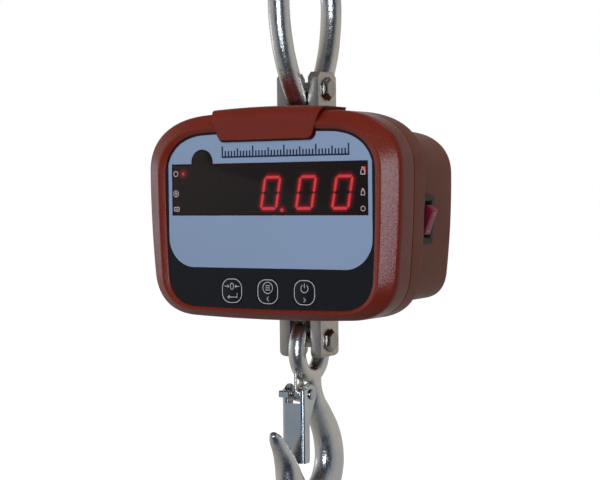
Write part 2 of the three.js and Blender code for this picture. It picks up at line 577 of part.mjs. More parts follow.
// A sealed battery with two terminals on top, held to the bay by a strap.
const TERMINAL = { w: 6, h: 5, halfD: 10 };
const STRAP = { t: 1, h: 14 };
function battery() {
  const { w, d, h, x, y, z } = BATTERY;
  let cell = slab(roundedRect(x, z, w, h, 2), y - d / 2, y + d / 2);
  for (const tx of [x - w / 2 + 0.5, x + w / 2 - 0.5 - TERMINAL.w]) {
    cell = cell.add(block(tx, tx + TERMINAL.w, y - TERMINAL.halfD, y + TERMINAL.halfD,
      z + h / 2 - 0.1, z + h / 2 + TERMINAL.h));
  }
  piece(housing, 'battery', cell, GREY());
  const round = (grow, halfH) => block(x - w / 2 - grow, x + w / 2 + grow, y - d / 2 - grow,
    y + d / 2 + grow, z - halfH, z + halfH);
  const band = round(GAP + STRAP.t, STRAP.h / 2).subtract(round(GAP, STRAP.h));
  piece(housing, 'battery_strap', band, BLACK());
}

function batteryDoor() {
  const screwSeat = REAR_Y - 1.5;
  let door = slab(roundedRect(BATTERY.x, BATTERY.z, DOOR.w - 2 * GAP, DOOR.h - 2 * GAP, 5),
    REAR_Y - DOOR.t, REAR_Y);
  doorScrews().forEach(([x, z], i) => {
    door = door.subtract(bar('y', 1.9, REAR_Y - 5, REAR_Y + 1, x, z, 12))
      .subtract(bar('y', 3.2, screwSeat, REAR_Y + 1, x, z, 16));
    screw(housing, `battery_door_screw_${i + 1}`, x, z, REAR_Y - 9, screwSeat + GAP / 2, 1.1, 2.8,
      1.1);
  });
  piece(housing, 'battery_door', door, SHELL_BACK());
}

// ---------------------------------------------------------------- power switch and socket
// The switch follows the slight lean of the right-hand wall. The rocker turns about an axis along
// Y; at rest its upper end stands out.
const SWITCH = { lip: 1.2, well: 15.75, sleeveW: 8, sleeveL: 18.1, depth: 11, bodyDepth: 19, tab: 8 };
const ROCKER = { x: -3, w: 10.5, face: 8.6, faceHalf: 11.5, endHalf: 13.8, bellyR: 6.5, tilt: 0.33 };
function powerSwitch() {
  const bow = (BOX.w - BOX.wLow) / (BOX.zw - BOX.zLow) ** 2;
  const below = BOX.zw - SWITCH_Z;
  const group = new THREE.Group();
  group.position.set(BOX.w - bow * below ** 2, SWITCH_Y, SWITCH_Z);
  group.rotation.y = Math.atan(2 * bow * below);
  housing.add(group);
  const [l, w] = [SWITCH_L / 2, SWITCH_W / 2];
  const wellW = ROCKER.w / 2 + 0.5;
  const frame = block(GAP, GAP + SWITCH.lip, -w, w, -l, l)
    .add(block(-SWITCH.depth, GAP + 0.1, -SWITCH.sleeveW, SWITCH.sleeveW, -SWITCH.sleeveL,
      SWITCH.sleeveL))
    .subtract(block(-SWITCH.depth - 1, 5, -wellW, wellW, -SWITCH.well, SWITCH.well));
  piece(group, 'switch_frame', frame, BLACK());
  const back = -SWITCH.depth - GAP;
  const end = back - SWITCH.bodyDepth;
  let body = block(end, back, -SWITCH.sleeveW, SWITCH.sleeveW, -SWITCH.sleeveL, SWITCH.sleeveL);
  for (const z of [-7, 7]) {
    body = body.add(block(end - SWITCH.tab, end + 0.1, -3, 3, z - 1, z + 1));
  }
  piece(group, 'switch_body', body, BLACK());
  piece(group, 'power_rocker', solid(rockerGeometry()), ROCKER_RED());
}

// Rocker section: a slightly hollow face, sloping ends, a round belly about the pivot.
function rockerGeometry() {
  const r = ROCKER;
  const [edge, foot] = [1, -1.5];
  const s = new THREE.Shape();
  s.moveTo(-r.faceHalf, r.face);
  s.quadraticCurveTo(0, r.face - 1.2, r.faceHalf, r.face);
  s.lineTo(r.endHalf, edge);
  s.lineTo(r.endHalf - 1.3, foot);
  s.absarc(0, 0, r.bellyR, -0.25, -Math.PI + 0.25, true);
  s.lineTo(-r.endHalf + 1.3, foot);
  s.lineTo(-r.endHalf, edge);
  return new THREE.ExtrudeGeometry(s, { depth: r.w, bevelEnabled: false, curveSegments: 8 })
    .translate(0, 0, -r.w / 2)
    .rotateX(Math.PI / 2).rotateY(Math.PI / 2).rotateY(r.tilt)
    .translate(r.x, 0, 0);
}

const SOCKET = { r: 5.5, y: 70, z: -60 };
function chargeSocket() {
  const wallX = -BOX.w + 1.3;
  const socket = bar('x', SOCKET.r, wallX - 1, wallX + 14, SOCKET.y, SOCKET.z, 20)
    .add(bar('x', SOCKET.r + 3, wallX - 2.8, wallX - 0.9, SOCKET.y, SOCKET.z, 24))
    .subtract(bar('x', 2.8, wallX - 4, wallX + 10, SOCKET.y, SOCKET.z, 16))
    .add(bar('x', 1, wallX, wallX + 11, SOCKET.y, SOCKET.z, 10));
  piece(housing, 'charge_socket', socket, BLACK());
}

// ---------------------------------------------------------------- hook and latch
// Stations along the hook's middle line from the neck to the tip, from the lower bolt's axis:
// y, z, half-width in the plane of the hook, half-thickness across it.
const HOOK_LINE = [[0, -27, 15, 7.4], [0.5, -35, 13, 9.2], [1.5, -45, 11, 10.3], [6.5, -57, 11, 10.8],
  [17, -71, 12.6, 11.3], [27.5, -87, 14.8, 11.8], [33.2, -104, 16.8, 12.1], [33, -120, 17.8, 12.3],
  [22, -140, 18.4, 12.4], [0, -150.6, 18.7, 12.4], [-22, -144.5, 17.4, 12], [-35.2, -126, 14.6, 11.8],
  [-42.6, -108, 9.6, 10.7], [-50.6, -94.6, 7.6, 8.1], [-59.6, -83.4, 5.8, 5.8], [-62.8, -80, 4, 4]];
const HOOK_STEPS = 44;
const HOOK_SIDES = 14;

function hookArm() {
  const line = new THREE.CatmullRomCurve3(HOOK_LINE.map(([y, z]) => new THREE.Vector3(0, y, z)));
  const sizes = new THREE.CatmullRomCurve3(HOOK_LINE.map(([, , a, b]) => new THREE.Vector3(a, b, 0)));
  const loops = [];
  for (let k = 0; k <= HOOK_STEPS; k++) {
    const t = k / HOOK_STEPS;
    const centre = line.getPoint(t);
    const size = sizes.getPoint(t);
    const tangent = line.getTangent(t);
    const across = new THREE.Vector3(0, -tangent.z, tangent.y);
    loops.push(Array.from({ length: HOOK_SIDES }, (_, i) => {
      const a = i / HOOK_SIDES * 2 * Math.PI;
      return centre.clone().addScaledVector(across, size.x * Math.cos(a))
        .add(new THREE.Vector3(size.y * Math.sin(a), 0, 0));
    }));
  }
  // A rounded tip: two shrinking loops beyond the last station.
  const tip = line.getPoint(1);
  const ahead = line.getTangent(1);
  for (const [reach, scale] of [[1.8, 0.86], [3, 0.55]]) {
    loops.push(loops[HOOK_STEPS].map((p) => p.clone().sub(tip).multiplyScalar(scale).add(tip)
      .addScaledVector(ahead, reach)));
  }
  return loft(loops);
}

// The oval eye the hook hangs by; its inside bears on the lower bolt.
const EYE_Z = BOLT_D / 2 + GAP - (EYE.halfZ - EYE_BAR / 2);
class EyeLine extends THREE.Curve {
  getPoint(t) {
    const a = t * 2 * Math.PI;
    return new THREE.Vector3(0, EYE.halfY * Math.sin(a), EYE_Z + EYE.halfZ * Math.cos(a));
  }
}

// The latch lug, and a thin rib that runs up its front to the eye, with a gap behind it.
const LUG = { r: 7.2, w: 5, h: 12, ribW: 1.6, ribY: -26 };
function latchLug() {
  const s = new THREE.Shape();
  s.moveTo(0, PIVOT.z - LUG.h);
  s.absarc(PIVOT.y, PIVOT.z, LUG.r, -Math.PI / 2, -1.5 * Math.PI, true);
  s.lineTo(0, PIVOT.z + LUG.h);
  return sideSlab(s, -LUG.w, LUG.w, 8);
}

function latchRib() {
  const at = (points) => new THREE.Shape(points.map(([y, dz]) => new THREE.Vector2(y, PIVOT.z + dz)));
  const rib = at([[-4, -4], [PIVOT.y - LUG.r + 0.8, -4], [LUG.ribY, 3], [LUG.ribY, 28], [-20, 34],
    [-4, 24]]);
  const gap = at([[LUG.ribY + 2.8, 7], [-8, 7], [-10, 22], [LUG.ribY + 2.8, 25]]);
  return sideSlab(rib, -LUG.ribW, LUG.ribW).subtract(sideSlab(gap, -9, 9));
}

function hook() {
  const inside = new THREE.Shape();
  inside.absellipse(0, EYE_Z, EYE.halfY - EYE_BAR / 2, EYE.halfZ - EYE_BAR / 2, 0, 2 * Math.PI,
    false, 0);
  const eye = solid(new THREE.TubeGeometry(new EyeLine(), 34, EYE_BAR / 2, 12, true));
  const body = hookArm().add(latchRib()).subtract(sideSlab(inside, -20, 20, 17)).add(eye)
    .add(latchLug())
    .subtract(bar('x', PIN_R + GAP, -LUG.w - 1, LUG.w + 1, PIVOT.y, PIVOT.z, 20));
  piece(lower, 'hook', body, FORGED());
}

function latchPin() {
  const half = LATCH_W / 2 + GAP;
  const end = half + PIN_HEAD_H;
  const pin = bar('x', PIN_R, -half - 0.1, half + 0.1, PIVOT.y, PIVOT.z, 20)
    .add(bar('x', PIN_HEAD_R, half, end, PIVOT.y, PIVOT.z, 20))
    .add(bar('x', PIN_HEAD_R, -end, -half, PIVOT.y, PIVOT.z, 20));
  piece(lower, 'latch_pin', pin, PLATED());
}

// Folded sheet channel: a web towards the mouth with a thumb lip at its top, two flanges, and an
// ear round each pin end.
const LATCH = { front: -12.7, depth: 9.5, top: 4, end: -61.6, ear: 8.8, notch: 11.5, lip: 4.6, lipW: 10,
  lipH: 6 };
function latch() {
  const w = LATCH_W / 2;
  const at = (u, v) => [PIVOT.y + u, PIVOT.z + v];
  const back = LATCH.front + LATCH.depth;
  const cheek = new THREE.Shape();
  cheek.moveTo(...at(LATCH.front, LATCH.end));
  cheek.lineTo(...at(back - 3, LATCH.end));
  cheek.quadraticCurveTo(...at(back, LATCH.end), ...at(back, LATCH.end + 3));
  cheek.lineTo(...at(back, -24));
  cheek.quadraticCurveTo(...at(2, -14), ...at(LATCH.ear * 0.8, -LATCH.ear * 0.6));
  cheek.absarc(...at(0, 0), LATCH.ear, -0.6435, Math.PI * 0.8, false);
  cheek.lineTo(...at(LATCH.front, LATCH.top));
  const web = [PIVOT.y + LATCH.front, PIVOT.y + LATCH.front + SHEET];
  const topZ = PIVOT.z + LATCH.top;
  const inner = w - SHEET;
  const [lipX, lipY, lipZ] = [-w + LATCH.lipW, web[0] - LATCH.lip, topZ - LATCH.lipH];
  const body = sideSlab(cheek, -w, w, 6)
    .subtract(block(-inner, inner, web[1], 40, -140, 0))
    .subtract(block(-inner, inner, -60, 40, topZ - LATCH.notch, 0))
    .add(block(-w, lipX, lipY, web[0] + 0.1, topZ - SHEET, topZ))
    .add(block(-w, lipX, lipY, lipY + SHEET, lipZ, topZ))
    .add(block(-w, -inner, lipY, web[0] + 0.1, lipZ, topZ))
    .subtract(bar('x', PIN_R + GAP, -w - 1, w + 1, PIVOT.y, PIVOT.z, 20));
  piece(lower, 'latch', body, PLATED());
}

// Torsion spring: two turns round the pin, between the lug and one ear, with a leg that presses
// the latch's web outwards.
const LEG_DROP = 26;
function latchSpring() {
  const wire = 0.8;
  const coilR = 4.6;
  const x0 = -LATCH_W / 2 + SHEET + GAP + wire;
  const x1 = -5 - GAP - wire;
  const turns = 2;
  const legY = LATCH.front + SHEET + GAP + wire;
  class Coil extends THREE.Curve {
    getPoint(t) {
      const a = Math.PI + t * turns * 2 * Math.PI;
      return new THREE.Vector3(THREE.MathUtils.lerp(x0, x1, t), PIVOT.y + coilR * Math.cos(a),
        PIVOT.z + coilR * Math.sin(a));
    }
  }
  const section = new THREE.Shape();
  section.absarc(0, 0, wire, 0, 2 * Math.PI);
  const coil = solid(new THREE.ExtrudeGeometry(section,
    { extrudePath: new Coil(), steps: 36, bevelEnabled: false, curveSegments: 4 }));
  const leg = new THREE.LineCurve3(new THREE.Vector3(x0, PIVOT.y - coilR, PIVOT.z + 0.2),
    new THREE.Vector3(x0, PIVOT.y + legY, PIVOT.z - LEG_DROP));
  const arm = solid(new THREE.ExtrudeGeometry(section,
    { extrudePath: leg, steps: 1, bevelEnabled: false, curveSegments: 4 }));
  piece(lower, 'latch_spring', coil.add(arm), STEEL());
}

// ---------------------------------------------------------------- assembly
liftingRing();
crossBolt('top_bolt', TOP_BOLT_Z);
crossBolt('bottom_bolt', BOTTOM_BOLT_Z);
loadCell();
cellBrackets();
frontShell();
browCover();
backShell();
gasket();
seals();
frontPanel();
display();
battery();
batteryDoor();
powerSwitch();
chargeSocket();
hook();
latchPin();
latch();
latchSpring();

export default model;
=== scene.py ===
"""Looks of a direct-view crane scale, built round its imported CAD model.

Lengths are millimetres until a mesh is made; +Z is up, +X to the reader's right, -Y towards the
reader. Housing shapes are drawn from the film's plane (y) and the display window's centre (z).
"""

import math
from math import cos, pi, radians, sin, tau

import bmesh
import bpy
from mathutils import Matrix, Vector, noise


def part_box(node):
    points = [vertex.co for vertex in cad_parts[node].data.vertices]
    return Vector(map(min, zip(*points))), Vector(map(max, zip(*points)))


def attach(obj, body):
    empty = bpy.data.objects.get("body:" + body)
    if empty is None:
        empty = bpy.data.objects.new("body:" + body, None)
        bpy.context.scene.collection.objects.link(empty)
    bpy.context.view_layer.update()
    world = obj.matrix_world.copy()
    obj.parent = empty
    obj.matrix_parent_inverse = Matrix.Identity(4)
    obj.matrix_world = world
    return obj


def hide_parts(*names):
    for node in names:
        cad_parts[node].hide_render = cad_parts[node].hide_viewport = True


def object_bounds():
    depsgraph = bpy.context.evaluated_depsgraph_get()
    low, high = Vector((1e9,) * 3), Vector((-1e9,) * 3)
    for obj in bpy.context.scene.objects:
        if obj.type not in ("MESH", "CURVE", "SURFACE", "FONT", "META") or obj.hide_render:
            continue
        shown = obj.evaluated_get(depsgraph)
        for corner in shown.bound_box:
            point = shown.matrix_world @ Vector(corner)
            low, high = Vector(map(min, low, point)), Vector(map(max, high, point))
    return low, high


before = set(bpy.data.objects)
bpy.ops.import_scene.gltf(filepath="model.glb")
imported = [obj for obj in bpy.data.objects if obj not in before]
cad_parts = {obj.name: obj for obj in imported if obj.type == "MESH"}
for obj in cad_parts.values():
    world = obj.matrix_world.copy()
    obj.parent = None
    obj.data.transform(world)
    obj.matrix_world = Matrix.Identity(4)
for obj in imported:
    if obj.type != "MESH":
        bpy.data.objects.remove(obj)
cad_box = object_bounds()

MM = 0.001
GAP = 0.35          # clearance between pieces
WALL = 3            # thickness of both shells
ORIGIN = (0, 0, 0)


def show(made):
    bpy.context.scene.collection.objects.link(made)


# --- camera
def make_camera():
    azimuth, elevation, roll = (radians(a) for a in (31.545, 1.786, -0.636))
    back = Vector((sin(azimuth) * cos(elevation),
                   -cos(azimuth) * cos(elevation), sin(elevation)))
    right = Vector((cos(azimuth), sin(azimuth), 0))
    up = back.cross(right)
    side = right * cos(roll) + up * sin(roll)
    top = up * cos(roll) - right * sin(roll)
    camera = bpy.data.objects.new("camera", bpy.data.cameras.new("camera"))
    camera.data.lens = 95.1
    camera.data.sensor_width = 36
    camera.data.clip_start = 0.02
    camera.matrix_world = Matrix((side, top, back)).transposed().to_4x4()
    camera.location = (0.7519, -1.2391, -0.2061)
    show(camera)
    bpy.context.scene.camera = camera


make_camera()


# --- places taken from the frame
def centre(node):
    low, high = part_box(node)
    return (low + high) / 2 / MM


WINDOW_W, WINDOW_H = 202.1, 44.7
DOME_X, DOME_R, DOME_Z = -68.5, 10.9, 24.3
TOP_BOLT = Vector((0, 0, centre("top_bolt").z))
LOWER_BOLT = Vector((0, 0, centre("bottom_bolt").z))
PIVOT = centre("latch_pin")
HOUSING = Vector((0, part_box("display_window")[0].y / MM,
                  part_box("display_window")[0].z / MM + WINDOW_H / 2))
CELL_LOW, CELL_HIGH = (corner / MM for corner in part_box("load_cell"))
REAR_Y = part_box("back_shell")[1].y / MM - HOUSING.y
CELL_Y = -HOUSING.y

# Housing outlines: half-widths, crown, foot and where the rounded corners begin.
OUTER = dict(w=131.3, zw=18, w_low=126.6, z_low=-76, top=69.5, x_top=70, z_top=67,
             x_bot=82, z_bot=-113.8, bottom=-115.6)
INNER = dict(w=108.8, zw=14, w_low=106, z_low=-78, top=52, x_top=66, z_top=50.8,
             x_bot=76, z_bot=-105, bottom=-105.8)
BOX = dict(w=121.8, zw=12.5, w_low=116.4, z_low=-77, top=54.2, x_top=76, z_top=52.2,
           x_bot=92, z_bot=-101.6, bottom=-103.4)
BEZEL = OUTER["w"] - INNER["w"]
STEP = OUTER["w"] - BOX["w"]
KEY_Z, KEY_PITCH, KEY_SIZE = -90.2, 37.8, 22
KEYS_X = [k * KEY_PITCH for k in (-1, 0, 1)]
BROW_FOOT, BROW_RISE, BROW_REAR = 43.6, 3.2, 42
SEAM_Y, FLANGE_Y = 28, 48
BATTERY_X, BATTERY_Z = -68, -26
DOOR_W, DOOR_H, DOOR_T = 66, 116, 2.4
HOUSING_SCREWS = [(side * x, z) for x, z in ((101.5, 54), (103.5, -103.2)) for side in (-1, 1)]
DOOR_SCREWS = [(BATTERY_X + i * (DOOR_W / 2 - 4.2), BATTERY_Z + k * (DOOR_H / 2 - 4.2))
               for i in (-1, 1) for k in (-1, 1)]
SOCKET_Y, SOCKET_Z = 70, -60
SWITCH_Y, SWITCH_Z = 70.5, -28


# --- outlines and sections
def bezier(points, steps):
    """Points along a Bezier curve of any degree, without its last one."""
    curve = []
    for k in range(steps):
        t = k / steps
        row = [Vector(p) for p in points]
        while len(row) > 1:
            row = [a.lerp(b, t) for a, b in zip(row, row[1:])]
        curve.append(row[0])
    return curve


def inset(o, d):
    return dict(o, w=o["w"] - d, w_low=o["w_low"] - d, top=o["top"] - d, z_top=o["z_top"] - d,
                z_bot=o["z_bot"] + d, bottom=o["bottom"] + d)


def between(a, b, t):
    return {k: a[k] + (b[k] - a[k]) * t for k in a}


def outline(o, corner_steps=18, side_steps=8, handle=0.6):
    """The housing outline in x and z: crown, corner, side, corner and foot, then their mirror image."""
    w, zw, w_low, z_low, top, x_top, z_top, x_bot, z_bot, bottom = o.values()
    cw, ch = (w - x_top) * handle, (z_top - zw) * handle
    bw, bh = (w_low - x_bot) * handle, (z_low - z_bot) * handle
    crown = 2 * (top - z_top) / x_top
    foot = 2 * (z_bot - bottom) / x_bot
    taper = 2 * (w - w_low) / (zw - z_low)
    half = bezier([(0, top), (x_top / 2, top), (x_top, z_top)], side_steps)
    half += bezier([(x_top, z_top), (x_top + cw, z_top - cw * crown), (w, zw + ch), (w, zw)], corner_steps)
    half += bezier([(w, zw), (w, (zw + z_low) / 2), (w_low, z_low)], side_steps)
    half += bezier([(w_low, z_low), (w_low - bh * taper, z_low - bh),
                    (x_bot + bw, z_bot + bw * foot), (x_bot, z_bot)], corner_steps)
    half += bezier([(x_bot, z_bot), (x_bot / 2, bottom), (0, bottom)], side_steps)
    return half + [Vector((0, bottom))] + mirrored(half[1:])


def rounded(points, cuts, steps=5, closed=False):
    """A polyline with its corners rounded: each curve starts and ends its cut away from the corner."""
    points = [Vector(p) for p in points]
    n = len(points)
    path = []
    for i, (p, cut) in enumerate(zip(points, cuts)):
        if not cut or (not closed and i in (0, n - 1)):
            path.append(p)
            continue
        a = p + (points[i - 1] - p).normalized() * cut
        b = p + (points[(i + 1) % n] - p).normalized() * cut
        path += bezier([a, p, b], steps) + [b]
    return path


def mirrored(points):
    """The points from last to first, on the other side of x = 0."""
    return [Vector((-p.x, p.y)) for p in reversed(points)]


def around(count):
    """Angles evenly spaced round a circle."""
    return [k / count * tau for k in range(count)]


def arc(cx, cy, r, start, end, steps):
    """Points on a circle from start to end, in degrees."""
    angles = [radians(start + (end - start) * k / steps) for k in range(steps + 1)]
    return [Vector((cx + r * cos(a), cy + r * sin(a))) for a in angles]


def rounded_rect(cx, cz, w, h, r, steps=8):
    corners = ((w / 2, -h / 2, -90), (w / 2, h / 2, 0), (-w / 2, h / 2, 90), (-w / 2, -h / 2, 180))
    return [p for x, z, a in corners for p in arc(
        cx + x - math.copysign(r, x), cz + z - math.copysign(r, z), r, a, a + 90, steps)]


def window_shape(grow):
    w, h, r = WINDOW_W / 2 + grow, WINDOW_H / 2 + grow, DOME_R + grow
    start = math.degrees(math.asin((h - DOME_Z) / r))
    return [Vector(p) for p in ((-w, -h), (w, -h), (w, h))] + arc(
        DOME_X, DOME_Z, r, start, 180 - start, 24) + [Vector((-w, h))]


def brow_shape(grow, top):
    """The brow's footprint, wide at the top and narrower at its rounded foot."""
    foot = [(43.5 + grow, BROW_FOOT - grow), (48.6 + grow, 44 - grow), (49.8 + grow, 50)]
    half = [Vector((0, BROW_FOOT - grow))] + bezier(foot, 8)
    half += [Vector(foot[-1]), Vector((57.5 + grow, top))]
    return half + mirrored(half[1:])


# --- mesh making
def add_mesh(name, points, faces, at=HOUSING):
    """A mesh object from points in millimetres measured from at, with its faces turned outwards."""
    mesh = bpy.data.meshes.new(name)
    mesh.from_pydata([(Vector(p) + Vector(at)) * MM for p in points], [], faces)
    cleaned = bmesh.new()
    cleaned.from_mesh(mesh)
    bmesh.ops.recalc_face_normals(cleaned, faces=cleaned.faces)
    cleaned.to_mesh(mesh)
    cleaned.free()
    made = bpy.data.objects.new(name, mesh)
    show(made)
    return made


def loft(name, loops, at=HOUSING, closed=False):
    """A skin through equal-length loops of points. Its ends are capped, or joined when closed."""
    n = len(loops[0])
    pairs = list(zip(range(len(loops)), range(1, len(loops))))
    if closed:
        pairs.append((len(loops) - 1, 0))
    faces = [(a * n + i, a * n + (i + 1) % n, b * n + (i + 1) % n, b * n + i)
             for a, b in pairs for i in range(n)]
    if not closed:
        faces += [tuple(range(n)), tuple(range((len(loops) - 1) * n, len(loops) * n))]
    return add_mesh(name, [p for loop in loops for p in loop], faces, at)


def flat_loop(points, y):
    return [(p[0], y, p[1]) for p in points]


def slab(name, points, y0, y1, at=HOUSING):
    """An outline in x and z, extruded from y0 to y1."""
    return loft(name, [flat_loop(points, y0), flat_loop(points, y1)], at)


def stepped(name, shape, rows, at=HOUSING):
    """A skin through shape(d) at y, for each (d, y) of rows."""
    return loft(name, [flat_loop(shape(d), y) for d, y in rows], at)


def side_slab(name, points, x0, x1, at):
    """An outline in y and z, extruded from x0 to x1."""
    return loft(name, [[(x, p[0], p[1]) for p in points] for x in (x0, x1)], at)


def block(name, x, y, z, at=HOUSING):
    return slab(name, [(x[0], z[0]), (x[1], z[0]), (x[1], z[1]), (x[0], z[1])], y[0], y[1], at)


def turned(name, profile, axis, at, sides=40):
    """A profile of (distance along the axis, radius) turned about X or Y through at."""
    loops = []
    for along, r in profile:
        ring = [(r * cos(a), r * sin(a)) for a in around(sides)]
        loops.append([(along, u, v) if axis == "x" else (u, along, v) for u, v in ring])
    return loft(name, loops, at)


def bore(half, radius, at, sides=40):
    """A round bar along X, half a length to each side of at."""
    return turned("bore", [(-half, radius), (half, radius)], "x", at, sides)


def bars(places, y0, y1, radius):
    """Round bars along Y, at places in x and z on the housing."""
    return [turned("bar", [(y0, radius), (y1, radius)], "y", HOUSING + Vector((x, 0, z)))
            for x, z in places]


def tube(name, path, radius, sides=16, at=ORIGIN, closed=False):
    """A round bar along a path."""
    path = [Vector(p) for p in path]
    n = len(path)
    loops = []
    across = None
    for k, p in enumerate(path):
        if closed:
            ahead = path[(k + 1) % n] - path[k - 1]
        else:
            ahead = path[min(k + 1, n - 1)] - path[max(k - 1, 0)]
        ahead.normalize()
        if across is None:
            across = Vector((1, 0, 0)) if abs(ahead.x) < 0.9 else Vector((0, 0, 1))
        across = (across - ahead * across.dot(ahead)).normalized()
        other = ahead.cross(across)
        loops.append([p + across * radius * cos(a) + other * radius * sin(a) for a in around(sides)])
    return loft(name, loops, at, closed)


def settle(made):
    """Replaces an object's mesh by what its modifiers make of it."""
    result = bpy.data.meshes.new_from_object(made.evaluated_get(bpy.context.evaluated_depsgraph_get()))
    made.modifiers.clear()
    made.data = result
    return made


def combine(target, others, operation):
    for other in others:
        step = target.modifiers.new(operation, "BOOLEAN")
        step.operation = operation
        step.solver = "EXACT"
        step.object = other
    settle(target)
    for other in others:
        bpy.data.objects.remove(other)
    return target


def cut(target, *others):
    return combine(target, others, "DIFFERENCE")


def common(target, *others):
    return combine(target, others, "INTERSECT")


def joined(target, *others):
    """One object of several, without merging their surfaces."""
    merged = bmesh.new()
    for each in (target, *others):
        merged.from_mesh(each.data)
    merged.to_mesh(target.data)
    merged.free()
    for other in others:
        bpy.data.objects.remove(other)
    return target


def soften(made, width, segments=2, angle=40):
    """Rounds the sharp edges, width in millimetres."""
    edge = made.modifiers.new("edges", "BEVEL")
    edge.width = width * MM
    edge.segments = segments
    edge.limit_method = "ANGLE"
    edge.angle_limit = radians(angle)


def eased(made, width, segments, angle):
    """Rounds the sharp edges and keeps the result as the object's mesh."""
    soften(made, width, segments, angle)
    settle(made)


def uneven(made, depth, size):
    """Gives a forged surface hollows of about that depth and size, in millimetres."""
    outward = [v.normal.copy() for v in made.data.vertices]
    for v, normal in zip(made.data.vertices, outward):
        v.co += normal * depth * MM * noise.noise(v.co / MM / size)


def smooth(made, angle=35):
    made.data.polygons.foreach_set("use_smooth", [True] * len(made.data.polygons))
    made.data.set_sharp_from_angle(angle=radians(angle))


def paint(made, look):
    made.data.materials.clear()
    made.data.materials.append(LOOK[look])


def finish(made, look, body, *nodes, slot=None, angle=35):
    """Shades a piece, puts it on its body and hides the CAD nodes it stands for."""
    smooth(made, angle)
    paint(made, look)
    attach(made, body)
    if nodes:
        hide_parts(*nodes)
    return made


# --- finishes
LOOK = {}           # every finish by its name


class Graph:
    """Short calls for adding and joining the nodes of a shader."""

    def __init__(self, tree):
        self.tree = tree

    def node(self, kind, **inputs):
        """Adds a node; each input is named with _ for its spaces."""
        made = self.tree.nodes.new("ShaderNode" + kind)
        for name, value in inputs.items():
            made.inputs[name.replace("_", " ")].default_value = value
        return made

    def link(self, source, target):
        self.tree.links.new(source, target)

    def ramp(self, value, *stops):
        """A colour ramp of (position, colour) stops."""
        made = self.node("ValToRGB")
        elements = made.color_ramp.elements
        for k, (position, colour) in enumerate(stops):
            element = elements[k] if k < 2 else elements.new(position)
            element.position = position
            element.color = (*colour, 1)
        self.link(value, made.inputs["Fac"])
        return made.outputs["Color"]


class Finish(Graph):
    """A Principled material whose colour, roughness and relief vary over the surface."""

    def __init__(self, name, **sockets):
        self.material = bpy.data.materials.new(name)
        self.material.use_nodes = True
        super().__init__(self.material.node_tree)
        self.shader = self.tree.nodes["Principled BSDF"]
        self.place = self.node("TexCoord").outputs["Object"]
        self.normal = None
        for socket, value in sockets.items():
            title = socket.replace("_", " ").title().replace("Ior", "IOR")
            self.shader.inputs[title].default_value = value
        LOOK[name] = self.material

    def noise(self, size, detail=2, roughness=0.5, stretch=(1, 1, 1)):
        """A noise whose features are about size millimetres across."""
        mapping = self.node("Mapping", Scale=stretch)
        self.link(self.place, mapping.inputs["Vector"])
        made = self.node("TexNoise", Scale=1000 / size / 2, Detail=detail, Roughness=roughness)
        self.link(mapping.outputs["Vector"], made.inputs["Vector"])
        return made.outputs["Fac"]

    def spread(self, value, low, high):
        """A noise value turned into the range low to high."""
        made = self.node("MapRange", From_Min=0.3, From_Max=0.7, To_Min=low, To_Max=high)
        self.link(value, made.inputs["Value"])
        return made.outputs["Result"]

    def colour(self, source):
        self.link(source, self.shader.inputs["Base Color"])

    def shaded(self, size, detail, dim, base):
        """A base colour that falls to dim of itself in patches of that size."""
        dark = tuple(c * dim for c in base)
        self.colour(self.ramp(self.noise(size, detail), (0.3, dark), (0.7, base)))

    def rough(self, value, low, high):
        self.link(self.spread(value, low, high), self.shader.inputs["Roughness"])

    def bump(self, height, depth, strength=1.0):
        """Adds relief of about depth millimetres."""
        made = self.node("Bump", Distance=depth * MM, Strength=strength)
        self.link(height, made.inputs["Height"])
        if self.normal:
            self.link(self.normal, made.inputs["Normal"])
        self.normal = made.outputs["Normal"]
        self.link(self.normal, self.shader.inputs["Normal"])


def linear(r, g, b):
    """Screen colour 0-255 to linear light."""
    return tuple(c / 255 / 12.92 if c < 10 else ((c / 255 + 0.055) / 1.055) ** 2.4 for c in (r, g, b))


def forged_steel():
    """Bright zinc over a forged surface: lumpy, with a coarse grain and faint blue and straw tints."""
    f = Finish("forged_steel", metallic=1.0)
    blue, grey, straw = (0.56, 0.59, 0.63), (0.70, 0.69, 0.68), (0.70, 0.67, 0.61)
    f.colour(f.ramp(f.noise(26, 3), (0.3, blue), (0.5, grey), (0.72, straw)))
    f.rough(f.noise(5, 4, 0.65), 0.2, 0.34)
    f.bump(f.noise(14, 2), 0.5, 0.7)
    f.bump(f.noise(2.2, 3, 0.65), 0.34, 1.0)
    f.bump(f.noise(0.9, 2, 0.6), 0.11, 0.8)


def plated_steel(name="plated_steel", base=(0.60, 0.61, 0.63), low=0.14, high=0.3, dents=0.08):
    """Electroplated zinc on bolts, pins and the folded latch."""
    f = Finish(name, metallic=1.0)
    f.shaded(18, 3, 0.82, base)
    f.rough(f.noise(3, 4, 0.6), low, high)
    f.bump(f.noise(9, 2), dents, 0.6)
    f.bump(f.noise(0.5, 2), 0.006, 0.5)


def machined_steel():
    """Milled bar with a faint lengthwise tool grain under its plating."""
    f = Finish("machined_steel", metallic=1.0)
    f.colour(f.ramp(f.noise(30, 3), (0.3, (0.46, 0.43, 0.39)), (0.7, (0.60, 0.56, 0.51))))
    f.rough(f.noise(4, 4, 0.6), 0.26, 0.42)
    f.bump(f.noise(0.7, 2, 0.6, (1, 1, 0.06)), 0.012, 0.6)
    f.bump(f.noise(12, 2), 0.1, 0.5)


